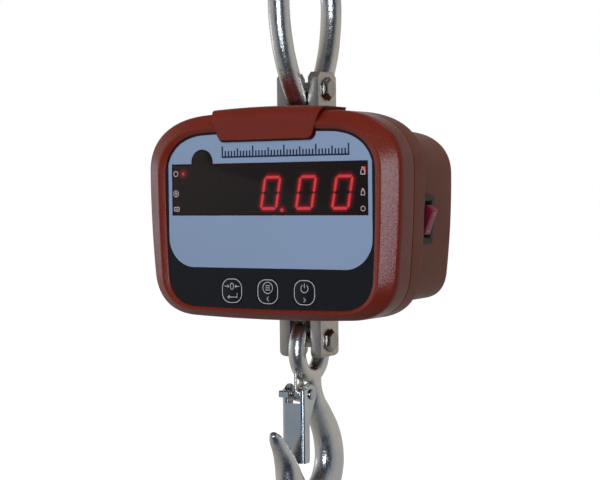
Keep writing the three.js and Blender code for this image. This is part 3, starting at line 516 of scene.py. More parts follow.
def shell_paint(name, dark, light, gloss):
    """Textured enamel: fine orange peel with small glints, under a clear coat of weight gloss."""
    f = Finish(name, coat_weight=gloss, specular_ior_level=0.12)
    f.colour(f.ramp(f.noise(60, 4, 0.6), (0.3, dark), (0.7, light)))
    f.rough(f.noise(22, 4, 0.65), 0.34, 0.50)
    f.link(f.spread(f.noise(0.7, 2, 0.7), 0.10, 0.34), f.shader.inputs["Coat Roughness"])
    f.bump(f.noise(0.8, 2, 0.7), 0.17, 1.0)
    f.bump(f.noise(5, 2), 0.06, 0.4)
    f.link(f.normal, f.shader.inputs["Coat Normal"])


def moulded(name, base, low=0.45, high=0.62, grain=0.02):
    """Moulded plastic or rubber with a fine grain."""
    f = Finish(name)
    f.shaded(25, 3, 0.85, base)
    f.rough(f.noise(8, 4), low, high)
    f.bump(f.noise(0.7, 2), grain, 0.7)


def printed(name, base, low=0.3, high=0.4):
    """Ink on the underside of a satin film."""
    f = Finish(name, specular_ior_level=0.3)
    f.shaded(70, 2, 0.95, base)
    f.rough(f.noise(30, 3), low, high)
    f.bump(f.noise(0.4, 1), 0.003, 0.5)
    f.bump(f.noise(40, 1), 0.1, 0.35)


def smoked_acrylic():
    """Dark red-brown filter; each of its two faces lets about a quarter of the light through."""
    f = Finish("smoked_window", alpha=0.72, ior=1.49, specular_ior_level=0.35)
    f.colour(f.ramp(f.noise(60, 2), (0.3, (0.017, 0.011, 0.010)), (0.7, (0.021, 0.014, 0.013))))
    f.rough(f.noise(20, 3), 0.07, 0.14)
    f.bump(f.noise(30, 1), 0.05, 0.3)


def emissive_look(name, base, light, strength):
    """Light given off, slightly uneven in brightness: the lit plastic lenses, and the painted glow round
    them.
    """
    f = Finish(name, roughness=0.4, emission_strength=strength)
    f.shader.inputs["Base Color"].default_value = (*base, 1)
    f.link(f.ramp(f.noise(4, 2), (0.2, tuple(c * 0.8 for c in light)), (0.8, light)),
           f.shader.inputs["Emission Color"])
    f.bump(f.noise(1, 1), 0.01, 0.4)


forged_steel()
plated_steel()
plated_steel("latch_plate", (0.66, 0.73, 0.77), 0.16, 0.28, 0.02)
plated_steel("bolt_steel", (0.44, 0.42, 0.39), 0.08, 0.2, 0.03)
machined_steel()
shell_paint("shell_red_brown", linear(107, 30, 18), linear(118, 37, 21), 0.62)
shell_paint("shell_brown", linear(114, 52, 31), linear(124, 59, 36), 0.14)
moulded("black_plastic", (0.018, 0.018, 0.02))
moulded("black_rubber", (0.012, 0.012, 0.012), 0.7, 0.85, 0.04)
moulded("green_board", (0.01, 0.10, 0.035), 0.35, 0.5)
moulded("battery_case", (0.045, 0.05, 0.055))
printed("dark_print", linear(17, 19, 25))
printed("light_print", linear(138, 157, 185))
printed("navy_ink", linear(22, 34, 60))
printed("pale_ink", linear(190, 195, 200))
printed("rose_ink", linear(200, 175, 180))
smoked_acrylic()
moulded("rocker_red", linear(150, 22, 62), 0.25, 0.4, 0.008)
emissive_look("lit_segment", (0.3, 0.02, 0.02), (1.0, 0.07, 0.09), 7.5)
# near_glow, far_glow and faint_glow are painted glow: emissive red, dimming outwards, that stands in for
# light the lit figures spill.
emissive_look("near_glow", (0.05, 0.01, 0.01), (1.0, 0.01, 0.03), 2.4)
emissive_look("far_glow", (0.03, 0.01, 0.01), (1.0, 0.01, 0.03), 1.0)
emissive_look("faint_glow", (0.02, 0.01, 0.01), (1.0, 0.01, 0.03), 0.4)
moulded("unlit_segment", (0.05, 0.016, 0.016), 0.3, 0.45)


# --- lifting ring
def lifting_ring():
    """Pear-shaped loop: crown arc, side arcs centred level with the crown's centre, foot arc."""
    low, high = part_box("lifting_ring")
    bar = (high.x - low.x) / MM / 2
    crown_r = (high.y - low.y) / MM / 2 - bar
    crown_z = high.z / MM - bar - crown_r
    foot_r = 20
    foot_z = low.z / MM + bar + foot_r
    drop = crown_z - foot_z
    side_r = (drop ** 2 / (crown_r - foot_r) + crown_r + foot_r) / 2
    side_y = side_r - crown_r
    sweep = math.atan2(drop, side_y)
    steps = 30
    half = [(crown_r * sin(a), crown_z + crown_r * cos(a))
            for a in (k / steps * pi / 2 for k in range(steps))]
    half += [(side_r * cos(a) - side_y, crown_z - side_r * sin(a))
             for a in (k / steps * sweep for k in range(steps))]
    half += [(foot_r * cos(a), foot_z - foot_r * sin(a))
             for a in (sweep + k / 14 * (pi / 2 - sweep) for k in range(14))]
    bottom = (0, foot_z - foot_r)
    path = half + [bottom] + [(-y, z) for y, z in reversed(half[1:])]
    ring = tube("ring_bar", [(0, y, z) for y, z in path], bar, 32, closed=True)
    uneven(ring, 0.16, 13)
    finish(ring, "forged_steel", "lifting_ring", "lifting_ring", angle=80)


# --- load cell and cross bolts
def load_cell():
    half_w, half_d = CELL_HIGH.x, CELL_HIGH.y
    top, bottom = CELL_HIGH.z, CELL_LOW.z
    slot = half_w - 11      # half-width of the slots of both forks
    floor_z, roof_z = TOP_BOLT.z - 33.5, LOWER_BOLT.z + 30.8
    half = rounded([(slot, top), (half_w, top), (half_w, bottom), (slot, bottom)], [0, 1.5, 6, 0])
    lower_arc = arc(0, roof_z - slot, slot, 0, 180, 20)
    upper_arc = arc(0, floor_z + slot, slot, 180, 360, 20)
    front = half + lower_arc + mirrored(half) + upper_arc
    cell = slab("load_cell_bar", front, -half_d, half_d, ORIGIN)
    chamfer = [(-half_d, bottom), (half_d, bottom), (half_d, top - 5), (half_d - 5, top),
               (-half_d + 5, top), (-half_d, top - 5)]
    side = side_slab("side", rounded(chamfer, [6, 6, 0.6, 0.6, 0.6, 0.6], closed=True),
                     -half_w - 1, half_w + 1, ORIGIN)
    common(cell, side)
    eased(cell, 0.9, 3, 50)
    middle = (floor_z + roof_z) / 2
    holes = [bore(half_w + 1, 7.35, at) for at in (TOP_BOLT, LOWER_BOLT)]
    pocket_w, pocket_h, pocket_d = 13, 20, 9
    pockets = [block("pocket", (-pocket_w, pocket_w), y, (middle - pocket_h, middle + pocket_h), ORIGIN)
               for y in ((-half_d - 1, -half_d + pocket_d), (half_d - pocket_d, half_d + 1))]
    cut(cell, *holes, *pockets)
    finish(cell, "machined_steel", "housing", "load_cell")


def cross_bolt(name, at):
    """Hexagon-head bolt along X: chamfered head, washer face and a threaded end."""
    low, high = (corner.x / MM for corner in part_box(name))
    flats = 19
    seat = high - 4.6
    corners = [(flats / math.sqrt(3) * sin(a), flats / math.sqrt(3) * cos(a)) for a in around(6)]
    hexagon = side_slab("head", corners, seat + 0.4, high, at)
    dome = turned("dome", [(seat - 1, 12.6), (high - 3.2, 11.4), (high, flats * 0.385)], "x", at, 48)
    common(hexagon, dome)
    eased(hexagon, 0.3, 2, 20)
    washer = turned("washer", [(seat, 8.8), (seat, 9.1), (seat + 0.42, 9.1)], "x", at, 40)
    thread_end, pitch = low + 12, 2
    profile = [(low, 5.8), (low + 0.6, 6.3)]
    for k in range(int((thread_end - low - 1) / pitch)):
        start = low + 1 + k * pitch
        profile += [(start, 6.35), (start + pitch * 0.45, 6.97), (start + pitch * 0.6, 6.97)]
    profile += [(thread_end, 7), (seat + 0.1, 7)]
    shank = turned("shank", profile, "x", at, 32)
    bolt = joined(hexagon, washer, shank)
    bolt.name = f"{name}_turned"
    finish(bolt, "bolt_steel", "housing", name, angle=25, slot="plated_steel")


# --- housing
def housing_rows(profile, outer, box):
    """Loops along a section of (depth in from the side, y): between two outlines, then inside box."""
    rows = []
    for d, y in profile:
        o = between(outer, box, d / STEP) if d <= STEP else inset(box, d - STEP)
        rows.append(flat_loop(outline(o), y))
    return rows


def front_shell():
    section = rounded([(0, SEAM_Y - 0.8), (0, 5.26), (16.37, -3.3), (22.3, -0.98), (BEZEL, 0.95)],
                      [0, 3.4, 1.7, 0.5, 0], 6)
    shell = stepped("bezel", lambda d: outline(between(OUTER, INNER, d / BEZEL)), section)
    cavity = stepped("cavity", lambda d: outline(inset(OUTER, d)),
                     ((WALL, SEAM_Y + 1), (WALL, 8.6), (9, 3.9)))
    opening = slab("opening", window_shape(-2), 2, 6)
    recess = slab("recess", window_shape(GAP), -1, 2.5)
    brow_front = slab("brow_front", brow_shape(GAP, 80), -6, 1.2)
    brow_top = slab("brow_top", brow_shape(GAP, 80), 1.1, 43)
    cut(brow_top, slab("core", outline(inset(OUTER, 1)), 50, -10))
    cut(shell, cavity, recess, opening, *key_holes(0, 5), brow_front, brow_top)
    finish(shell, "shell_red_brown", "housing", "front_shell", angle=50)


def key_holes(y0, y1):
    shapes = [rounded_rect(x, KEY_Z, KEY_SIZE + 2 * GAP, KEY_SIZE + 2 * GAP, 6) for x in KEYS_X]
    return [slab("key_hole", shape, y0, y1) for shape in shapes]


def brow_cover():
    """The cover over the top middle of the bezel: a skin drawn along its section at each station."""
    back = 1.2 - GAP
    stations = 49
    grown = inset(OUTER, -BROW_RISE)
    crown_drop = (grown["top"] - grown["z_top"]) / grown["x_top"] ** 2
    edge = brow_shape(0, grown["top"])[1:11]

    def half_width(z):
        for a, b in zip(edge, edge[1:]):
            if z <= b.y:
                return a.x + (b.x - a.x) * max(0, z - a.y) / (b.y - a.y)
        return edge[-1].x

    outside = rounded([(BROW_FOOT, -3.4), (64.7, -3.4), (72.7, 1.2), (72.7, BROW_REAR)],
                      [0, 4.5, 5, 0], 7)
    inside = rounded([(BROW_FOOT, back), (69.85, back), (69.85, BROW_REAR)], [0, 0.8, 0], 3)
    # Both skins get the same number of points along the section.
    outside = foot_rows(outside) + spaced(outside, 34)[4:]
    inside = foot_rows(inside) + spaced(inside, 34)[4:]
    loops = []
    for k in range(stations):
        s = 2 * k / (stations - 1) - 1
        loop = []
        for side in (outside, list(reversed(inside))):
            for z, y in side:
                x = s * half_width(z)
                share = max(0, min(1, (z - BROW_FOOT) / (grown["top"] - BROW_FOOT)))
                loop.append((x, y, z - crown_drop * x * x * share))
        loops.append(loop)
    brow = loft("brow", loops)
    eased(brow, 0.9, 3, 50)
    finish(brow, "shell_red_brown", "housing", "brow_cover", angle=50)


def foot_rows(path):
    """Closely spaced points over the first millimetres, where the brow's outline curves in."""
    depth = path[0].y
    return [Vector((z, depth)) for z in (43.6, 43.7, 43.9, 44.3, 45, 46.4, 48.2, 50)]


def spaced(path, count):
    """count points evenly spaced along a path."""
    lengths = [0]
    for a, b in zip(path, path[1:]):
        lengths.append(lengths[-1] + (b - a).length)
    result = []
    k = 0
    for i in range(count):
        wanted = lengths[-1] * i / (count - 1)
        while k < len(path) - 2 and lengths[k + 1] < wanted:
            k += 1
        span = lengths[k + 1] - lengths[k]
        result.append(path[k].lerp(path[k + 1], (wanted - lengths[k]) / span))
    return result


def back_shell():
    section = rounded([(0, SEAM_Y + 0.8), (0, FLANGE_Y), (STEP, FLANGE_Y + 0.2), (STEP + 0.9, REAR_Y),
                       (STEP + 12, REAR_Y)], [0, 1.3, 2.2, 8, 0], 7)
    shell = loft("back", housing_rows(section, OUTER, BOX))
    hollow = [(0, SEAM_Y), (0, FLANGE_Y - 3), (STEP, FLANGE_Y - 2.6), (STEP + 0.9, REAR_Y - 4),
              (STEP + 3, REAR_Y - 3)]
    inside = loft("inside", housing_rows(hollow, inset(OUTER, WALL), inset(BOX, WALL)))
    collar_x, collar_y = 24.7, 18.45
    collar = block("collar", (-collar_x, collar_x), (CELL_Y - collar_y, CELL_Y + collar_y), (-130, 80))
    rebate = slab("rebate", rounded_rect(BATTERY_X, BATTERY_Z, DOOR_W, DOOR_H, 5),
                  REAR_Y - DOOR_T - GAP, REAR_Y + 1)
    opening_w, opening_h = 50, 104
    opening = slab("opening", rounded_rect(BATTERY_X, BATTERY_Z, opening_w, opening_h, 3),
                   REAR_Y - 6, REAR_Y + 1)
    wall_x, half_w, half_l = BOX["w"], 9, 19.5
    switch = block("switch", (wall_x - 12, wall_x + 5), (SWITCH_Y - half_w, SWITCH_Y + half_w),
                   (SWITCH_Z - half_l, SWITCH_Z + half_l))
    socket = turned("socket", [(-wall_x - 5, 5.85), (-wall_x + 12, 5.85)], "x",
                    HOUSING + Vector((0, SOCKET_Y, SOCKET_Z)))
    bosses = joined(*bars(HOUSING_SCREWS, SEAM_Y + 1, FLANGE_Y - 1, 6))
    common(bosses, slab("within", outline(inset(OUTER, 1)), SEAM_Y, FLANGE_Y))
    wells = joined(*bars(HOUSING_SCREWS, FLANGE_Y - 5, FLANGE_Y + 6, 4))
    cut(wells, slab("core", outline(inset(BOX, 1)), FLANGE_Y - 9, REAR_Y))
    cut(shell, inside)
    combine(shell, [bosses], "UNION")
    cut(shell, collar, rebate, opening, switch, socket, wells)
    finish(shell, "shell_brown", "housing", "back_shell", angle=50)


def cross_screw(name, x, z, seat, radius, height):
    """Pan head with a cross recess, facing +Y; its shank is the CAD node's length."""
    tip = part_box(name)[0].y / MM - HOUSING.y
    shank_r = radius * 0.42
    profile = [(tip, 0.1), (tip + 1.2, shank_r), (seat, shank_r), (seat + 0.01, radius * 0.96),
               (seat + height * 0.2, radius)]
    profile += [(seat + height * (0.2 + 0.8 * sin(a)), radius * (0.45 + 0.55 * cos(a)))
                for a in (k / 6 * pi / 2 for k in range(1, 7))]
    at = HOUSING + Vector((x, 0, z))
    screw = turned(f"{name}_fine", profile, "y", at, 32)
    wide, thin = radius * 0.62, radius * 0.13
    arms = [block("arm", (-a, a), (seat + height * 0.45, seat + height + 1), (-b, b), at)
            for a, b in ((wide, thin), (thin, wide))]
    cut(screw, *arms)
    finish(screw, "plated_steel", "housing", name)


def battery_door():
    w, h = DOOR_W - 2 * GAP, DOOR_H - 2 * GAP
    rows = ((0, REAR_Y - DOOR_T), (0, REAR_Y - 0.5), (0.15, REAR_Y - 0.15), (0.5, REAR_Y))
    door = stepped("door", lambda d: rounded_rect(BATTERY_X, BATTERY_Z, w - 2 * d, h - 2 * d, 5 - d), rows)
    cut(door, *bars(DOOR_SCREWS, REAR_Y - 1.5, REAR_Y + 1, 3.2),
        *bars(DOOR_SCREWS, REAR_Y - 5, REAR_Y + 1, 1.9))
    finish(door, "shell_brown", "housing", "battery_door")


def charge_socket():
    """Round panel socket on the left wall with a centre pin."""
    wall = -BOX["w"] + 1.3
    out = wall - 2.8
    at = HOUSING + Vector((0, SOCKET_Y, SOCKET_Z))
    shape = [(wall + 14, 5.5), (wall - 0.9, 5.5), (wall - 0.9, 8.2), (wall - 1.2, 8.5), (out + 0.6, 8.3),
             (out, 7.6), (out, 3.4), (out + 0.5, 2.8), (wall + 10, 2.8), (wall + 10, 0.1)]
    sleeve = turned("socket_sleeve", shape, "x", at)
    pin = turned("pin", [(wall + 9, 1), (wall + 0.6, 1), (wall + 0.1, 0.6)], "x", at, 16)
    joined(sleeve, pin)
    finish(sleeve, "black_plastic", "housing", "charge_socket")


# --- power switch
def switch_lean():
    """The switch's place, leaning with the bowed right-hand wall."""
    bow = (BOX["w"] - BOX["w_low"]) / (BOX["zw"] - BOX["z_low"]) ** 2
    below = BOX["zw"] - SWITCH_Z
    place = HOUSING + Vector((BOX["w"] - bow * below ** 2, SWITCH_Y, SWITCH_Z))
    return Matrix.Translation(place * MM) @ Matrix.Rotation(math.atan(2 * bow * below), 4, "Y")


def switch_rim(lean):
    """A raised rounded rim round a rectangular well."""
    half_l, half_w = 21.5, 11
    rim = [(GAP, 0), (GAP + 0.8, 0), (GAP + 1.2, 0.5), (GAP + 1.2, 4.4), (GAP + 0.5, 5.2), (-10.9, 5.2)]
    loops = []
    for x, d in rim:
        shape = rounded_rect(0, 0, 2 * (half_w - d), 2 * (half_l - d), max(2.6 - d, 0.5), 5)
        loops.append([(x, p.x, p.y) for p in shape])
    made = loft("switch_rim", loops, ORIGIN)
    cut(made, side_slab("well", rounded_rect(0, 0, 11.5, 31.5, 0.4, 2), -12.2, 5, ORIGIN))
    made.data.transform(lean)
    finish(made, "black_plastic", "housing", "switch_frame")


ROCKER_END, ROCKER_TOP, ROCKER_DIP = 11.5, 8.6, 0.6


def rocker(place):
    """A rocker with a hollow face, sloping ends and a round belly about its pivot."""
    end, top = ROCKER_END, ROCKER_TOP
    face = bezier([(-end, top), (0, top - 2 * ROCKER_DIP), (end, top)], 12) + [Vector((end, top))]
    path = rounded(face + [(13.8, 1), (12.5, -1.5)], [0.9] + [0] * 11 + [0.9, 0.6, 0], 3)
    belly = [Vector((6.5 * cos(a), -6.5 * sin(a)))
             for a in (0.25 + k / 16 * (pi - 0.5) for k in range(17))]
    shape = path + belly + [(-12.5, -1.5), (-13.8, 1)]
    made = loft("rocker", [[(s[0], y, s[1]) for s in shape] for y in (-5.25, 5.25)], ORIGIN)
    eased(made, 0.45, 3, 50)
    made.data.transform(place)
    finish(made, "rocker_red", "rocker", "power_rocker")


def rocker_marks(place):
    """The on and off marks, a bar and a ring, drawn flat and laid on the hollow face."""
    ring = ribbon("ring_mark", [(8 + 1.7 * cos(a), 1.7 * sin(a)) for a in around(20)], 0.55, closed=True)
    marks = joined(ring, ribbon("dash_mark", [(-8, -1.8), (-8, 1.8)], 0.6))
    for v in marks.data.vertices:
        x, y, z = v.co / MM
        face_z = ROCKER_TOP - ROCKER_DIP * (1 - (x / ROCKER_END) ** 2)
        v.co = Vector((-x, z, face_z + 0.03 - y)) * MM
    marks.data.transform(place)
    marks.name = "rocker_marks"
    finish(marks, "rose_ink", "rocker", slot="rocker_red")


def power_switch():
    lean = switch_lean()
    turn = Matrix.Translation((-3 * MM, 0, 0)) @ Matrix.Rotation(pi / 2 + 0.33, 4, "Y")
    switch_rim(lean)
    rocker(lean @ turn)
    rocker_marks(lean @ turn)


# --- front panel
PRINT = 0.05


def ribbon(name, points, width, y=0.0, closed=False, at=ORIGIN, thickness=PRINT):
    """A printed line of that width along points in x and z, standing thickness in front of y."""
    points = [Vector(p) for p in points]
    n = len(points)
    verts = []
    for k, p in enumerate(points):
        before = points[k - 1] if closed or k else None
        after = points[(k + 1) % n] if closed or k < n - 1 else None
        a = (p - before).normalized() if before is not None else (after - p).normalized()
        b = (after - p).normalized() if after is not None else a
        normal = Vector((-(a.y + b.y), a.x + b.x)).normalized()
        reach = width / 2 / max(0.4, normal.dot(Vector((-a.y, a.x))))
        for side in (1, -1):
            q = p + normal * reach * side
            verts += [(q.x, y - thickness, q.y), (q.x, y, q.y)]
    faces = []
    for k in range(n if closed else n - 1):
        a, b = 4 * k, 4 * ((k + 1) % n)
        faces += [(a, b, b + 2, a + 2), (a + 1, a + 3, b + 3, b + 1), (a, a + 1, b + 1, b),
                  (a + 2, b + 2, b + 3, a + 3)]
    if not closed:
        end = 4 * (n - 1)
        faces += [(0, 2, 3, 1), (end, end + 1, end + 3, end + 2)]
    return add_mesh(name, verts, faces, at)


def circle(cx, cz, r, steps=28):
    return arc(cx, cz, r, 0, 360, steps)[:-1]


def film():
    """The front film: a dark ground with a light upper panel printed on it."""
    base = slab("film_base", outline(inset(INNER, GAP)), 0, 0.6)
    cut(base, slab("hole", window_shape(GAP), -1, 2), slab("brow_hole", brow_shape(GAP + 0.3, 80), -1, 2),
        *key_holes(-1, 2))
    finish(base, "dark_print", "housing", "front_overlay", slot="panel_film")
    light = slab("light_panel", outline(inset(INNER, 2.1)), 0, 1)
    low, high, corner = -69.7, 90, 27
    bounds = rounded_rect(0, (low + high) / 2, 211.5, high - low, corner, 14)
    common(light, slab("bounds", bounds, -1, 2))
    cut(light, slab("hole", window_shape(0.9), -1, 2), slab("brow_hole", brow_shape(1.7, 80), -1, 2))
    flatten(light, -PRINT, -0.006)
    finish(light, "light_print", "housing", slot="panel_film")


def flatten(made, front, rear):
    """Brings a one millimetre slab down to a print layer between front and rear."""
    for v in made.data.vertices:
        deep = v.co.y / MM - HOUSING.y > 0.5
        v.co.y = ((rear if deep else front) + HOUSING.y) * MM


def window():
    pane = stepped("window_pane", lambda d: window_shape(-d), ((0, 1.65), (0, 0.25), (0.1, 0.07), (0.3, 0)))
    finish(pane, "smoked_window", "housing", "display_window")


def panel_rule():
    """A plain graduated rule, the panel's only heading."""
    left, right, base, line = -47, 84, 28.8, 1.5
    ticks = 41
    parts = [ribbon("rule", [(left, base), (right, base)], line, -0.004, at=HOUSING)]
    for k in range(ticks):
        x = left + line / 2 + k * (right - left - line) / (ticks - 1)
        height = 9.6 if k % 10 == 0 else 7.6 if k % 5 == 0 else 5.4
        parts.append(ribbon("tick", [(x, base + line / 2), (x, base + height)], line, -0.004, at=HOUSING))
    finish(joined(*parts), "navy_ink", "housing", slot="panel_film").name = "panel_rule"
    bpy.data.objects["panel_rule"].location = (0, -PRINT * MM, 0)


def window_marks():
    """Small state marks at the window's ends: rings, a battery and two weights."""
    left, right = -WINDOW_W / 2 + 3.4, WINDOW_W / 2 - 4.2
    high, middle, low = 14.6, -3.4, -17.4
    line = 0.7
    shapes = [(circle(left, high, 2.3), True), (circle(left, middle, 2.7), True),
              (circle(left, middle, 0.9), True), (circle(right, low, 2.0), True),
              (rounded_rect(left + 0.6, low, 5.2, 3.4, 0.4, 2), True),
              ([(left - 0.9, low), (left + 2.1, low)], False)]
    for z, size in ((high, 1.0), (middle, 0.86)):
        w, h = 2.2 * size, 2.9 * size
        weight = rounded([(right - w, z - h), (right + w, z - h), (right + w * 0.7, z + h * 0.35),
                          (right - w * 0.7, z + h * 0.35)], [0.4] * 4, 2, closed=True)
        shapes += [(weight, True), (circle(right, z + h * 0.75, 1.0 * size, 14), True)]
    parts = [ribbon("mark", points, line, -0.004, closed, HOUSING, 0.03) for points, closed in shapes]
    finish(joined(*parts), "rose_ink", "housing", slot="smoked_window").name = "window_marks"


def chevron(x, z, size, way):
    return [(x - way * size / 2, z + size), (x + way * size / 2, z), (x - way * size / 2, z - size)]


def arrow(x, z, length, way):
    """Shaft and head of a small horizontal arrow that ends at x."""
    tail = x - way * length
    back = x - way * 1.5
    return [([(tail, z), (x, z)], False), ([(back, z + 1.2), (x, z), (back, z - 1.2)], False)]


def cap_shape(d):
    return rounded_rect(0, 0, KEY_SIZE - 2 * d, KEY_SIZE - 2 * d, 5.6 - d)


def keys():
    """Key caps, each with its printed frame and its sign."""
    signs = {
        "zero": arrow(-3.2, 4, 4.6, 1) + arrow(3.2, 4, 4.6, -1) + [
            (rounded_rect(0, 4, 3.2, 5.4, 1.6, 6), True),
            ([(5.4, -2), (5.4, -5.6), (-4.6, -5.6)], False),
            ([(-2.6, -4.2), (-4.8, -5.6), (-2.6, -7)], False)],
        "menu": [(circle(0, 3.4, 5), True), (chevron(0, -6.3, 1.9, -1), False)] + [
            ([(-2.3, 3.4 + d), (2.3, 3.4 + d)], False) for d in (-1.9, 0, 1.9)],
        "power": [(arc(0, 3.6, 3.6, 125, 415, 22), False), ([(0, 4), (0, 8.2)], False),
                  (chevron(0, -6.3, 1.9, 1), False)],
    }
    for x, (name, sign) in zip(KEYS_X, signs.items()):
        body = f"{name}_key"
        at = HOUSING + Vector((x, 0, KEY_Z))
        cap = stepped(f"cap_{name}", cap_shape, ((0, 2.2), (0, 0.45), (0.1, 0.2), (0.4, 0.05)), at)
        stem = turned("stem", [(2.15, 3), (5.7, 3), (6, 2.7)], "y", at, 24)
        joined(cap, stem)
        finish(cap, "dark_print", body, f"key_{name}", slot="key_film")
        line, top = 0.62, 0.046
        parts = [ribbon("frame", rounded_rect(0, 0, 20.6, 21, 8), line, top, True, at)]
        parts += [ribbon("sign", points, line * 0.9, top, closed, at) for points, closed in sign]
        marks = joined(*parts)
        marks.name = f"sign_{name}"
        finish(marks, "pale_ink", body, slot="key_film")


SEGMENTS = {"a": (0, 1, True), "b": (1, 0.5, False), "c": (1, -0.5, False), "d": (0, -1, True),
            "e": (-1, -0.5, False), "f": (-1, 0.5, False), "g": (0, 0, True)}


def segment_shape(which, spill=0.0):
    """One bar of a seven-segment figure, with pointed ends, leaning ten degrees."""
    w, h, t, clear = 7.8, 13.75, 1.2, 0.4
    column, row, lying = SEGMENTS[which]
    cx, cz = column * w, row * h
    half = (w if lying else h / 2) - clear + spill
    t += spill
    bar = [(-half, 0), (-half + t, t), (half - t, t), (half, 0), (half - t, -t), (-half + t, -t)]
    points = [(cx + a, cz + b) if lying else (cx + b, cz + a) for a, b in bar]
    lean = math.tan(radians(10))
    return [Vector((x + z * lean, z)) for x, z in points]


def digits():
    """Five figures, the last three showing 0.00, and the light they spill on the modules' faces, painted as
    glowing rims round the lit bars.
    """
    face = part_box("digit_module_1")[0].y / MM - HOUSING.y
    # The glow layers are painted glow: each is a lit bar grown by spill, emissive and dimmer the wider it
    # is, standing just in front of the module face.
    layers = {"lit_figures": (0, 0.35, "lit_segment"), "near_glow": (0.9, 0.26, "near_glow"),
              "far_glow": (2.1, 0.18, "far_glow"), "faint_glow": (3.4, 0.10, "faint_glow")}
    made = {name: [] for name in layers}
    unlit = []

    def light(shape_at, at):
        for name, (spill, depth, _) in layers.items():
            made[name].append(slab("light", shape_at(spill), face - depth, face - depth + 0.06, at))

    for i in range(5):
        module = centre(f"digit_module_{i + 1}")
        at = Vector((module.x + 1.5, HOUSING.y, HOUSING.z - 3.45))
        for which in SEGMENTS:
            if i >= 2 and which != "g":
                light(lambda spill, w=which: segment_shape(w, spill), at)
            else:
                unlit.append(slab("bar", segment_shape(which), face - 0.35, face - 0.02, at))
        if i == 2:
            light(lambda spill: circle(11.6, -15.1, 1.5 + spill, 18), at)
        else:
            unlit.append(slab("point", circle(11.6, -15.1, 1.5, 18), face - 0.35, face - 0.02, at))
    light(lambda spill: circle(-92.6, 14.6, 1.2 + spill * 1.2, 18), HOUSING)
    light(lambda spill: rounded_rect(96.6, 15.6, 1.2 + spill, 5 + spill, 0.5 + spill / 2), HOUSING)
    for name, (_, _, look) in layers.items():
        finish(joined(*made[name]), look, "housing", slot="smoked_window").name = name
    finish(joined(*unlit), "unlit_segment", "housing", slot="black_plastic").name = "unlit_figures"


# --- hook and latch
# Stations along the hook's middle line from the neck to the tip, from the lower bolt's axis:
# y, z, half-width in the plane of the hook, half-thickness across it.
HOOK_LINE = [(0, -27, 15, 7.4), (0.5, -35, 13, 9.2), (1.5, -45, 11, 10.3), (6.5, -57, 11, 10.8),
             (17, -71, 12.6, 11.3), (27.5, -87, 14.8, 11.8), (33.2, -104, 16.8, 12.1),
             (33, -120, 17.8, 12.3), (22, -140, 18.4, 12.4), (0, -150.6, 18.7, 12.4),
             (-22, -144.5, 17.4, 12), (-35.2, -126, 14.6, 11.8), (-42.6, -108, 9.6, 10.7),
             (-50.6, -94.6, 7.6, 8.1), (-59.6, -83.4, 5.8, 5.8), (-62.8, -80, 4, 4)]


def catmull_rom(stations, steps):
    """Points on a centripetal curve through the stations, of any number of coordinates."""
    def mix(a, b, t):
        return [x + (y - x) * t for x, y in zip(a, b)]

    def gap(a, b):
        return max(1e-6, math.dist(a[:2], b[:2]) ** 0.5)

    first = mix(stations[1], stations[0], 2)
    last = mix(stations[-2], stations[-1], 2)
    row = [first, *stations, last]
    curve = []
    for k in range(1, len(row) - 2):
        p0, p1, p2, p3 = row[k - 1:k + 3]
        t1 = gap(p0, p1)
        t2 = t1 + gap(p1, p2)
        t3 = t2 + gap(p2, p3)
        for i in range(steps):
            t = t1 + (t2 - t1) * i / steps
            a1, a2 = mix(p0, p1, t / t1), mix(p1, p2, (t - t1) / (t2 - t1))
            a3 = mix(p2, p3, (t - t2) / (t3 - t2))
            b1, b2 = mix(a1, a2, t / t2), mix(a2, a3, (t - t1) / (t3 - t1))
            curve.append(mix(b1, b2, (t - t1) / (t2 - t1)))
    return curve + [list(stations[-1])]


def hook_arm():
    """The shank, the bowl and the tip as one skin along the hook's middle line."""
    line = catmull_rom(HOOK_LINE, 6)
    loops = []
    for k, (y, z, wide, thick) in enumerate(line):
        before, after = line[max(k - 1, 0)], line[min(k + 1, len(line) - 1)]
        ahead = Vector((after[0] - before[0], after[1] - before[1])).normalized()
        loops.append([(thick * sin(a), y - ahead.y * wide * cos(a), z + ahead.x * wide * cos(a))
                      for a in around(28)])
    tip = Vector((0, *line[-1][:2]))
    onward = Vector((0, *ahead))
    for reach, scale in ((1.2, 0.93), (2.2, 0.78), (3.0, 0.52)):
        loops.append([tip + (Vector(p) - tip) * scale + onward * reach for p in loops[len(line) - 1]])
    return loft("hook_forging", loops, LOWER_BOLT)


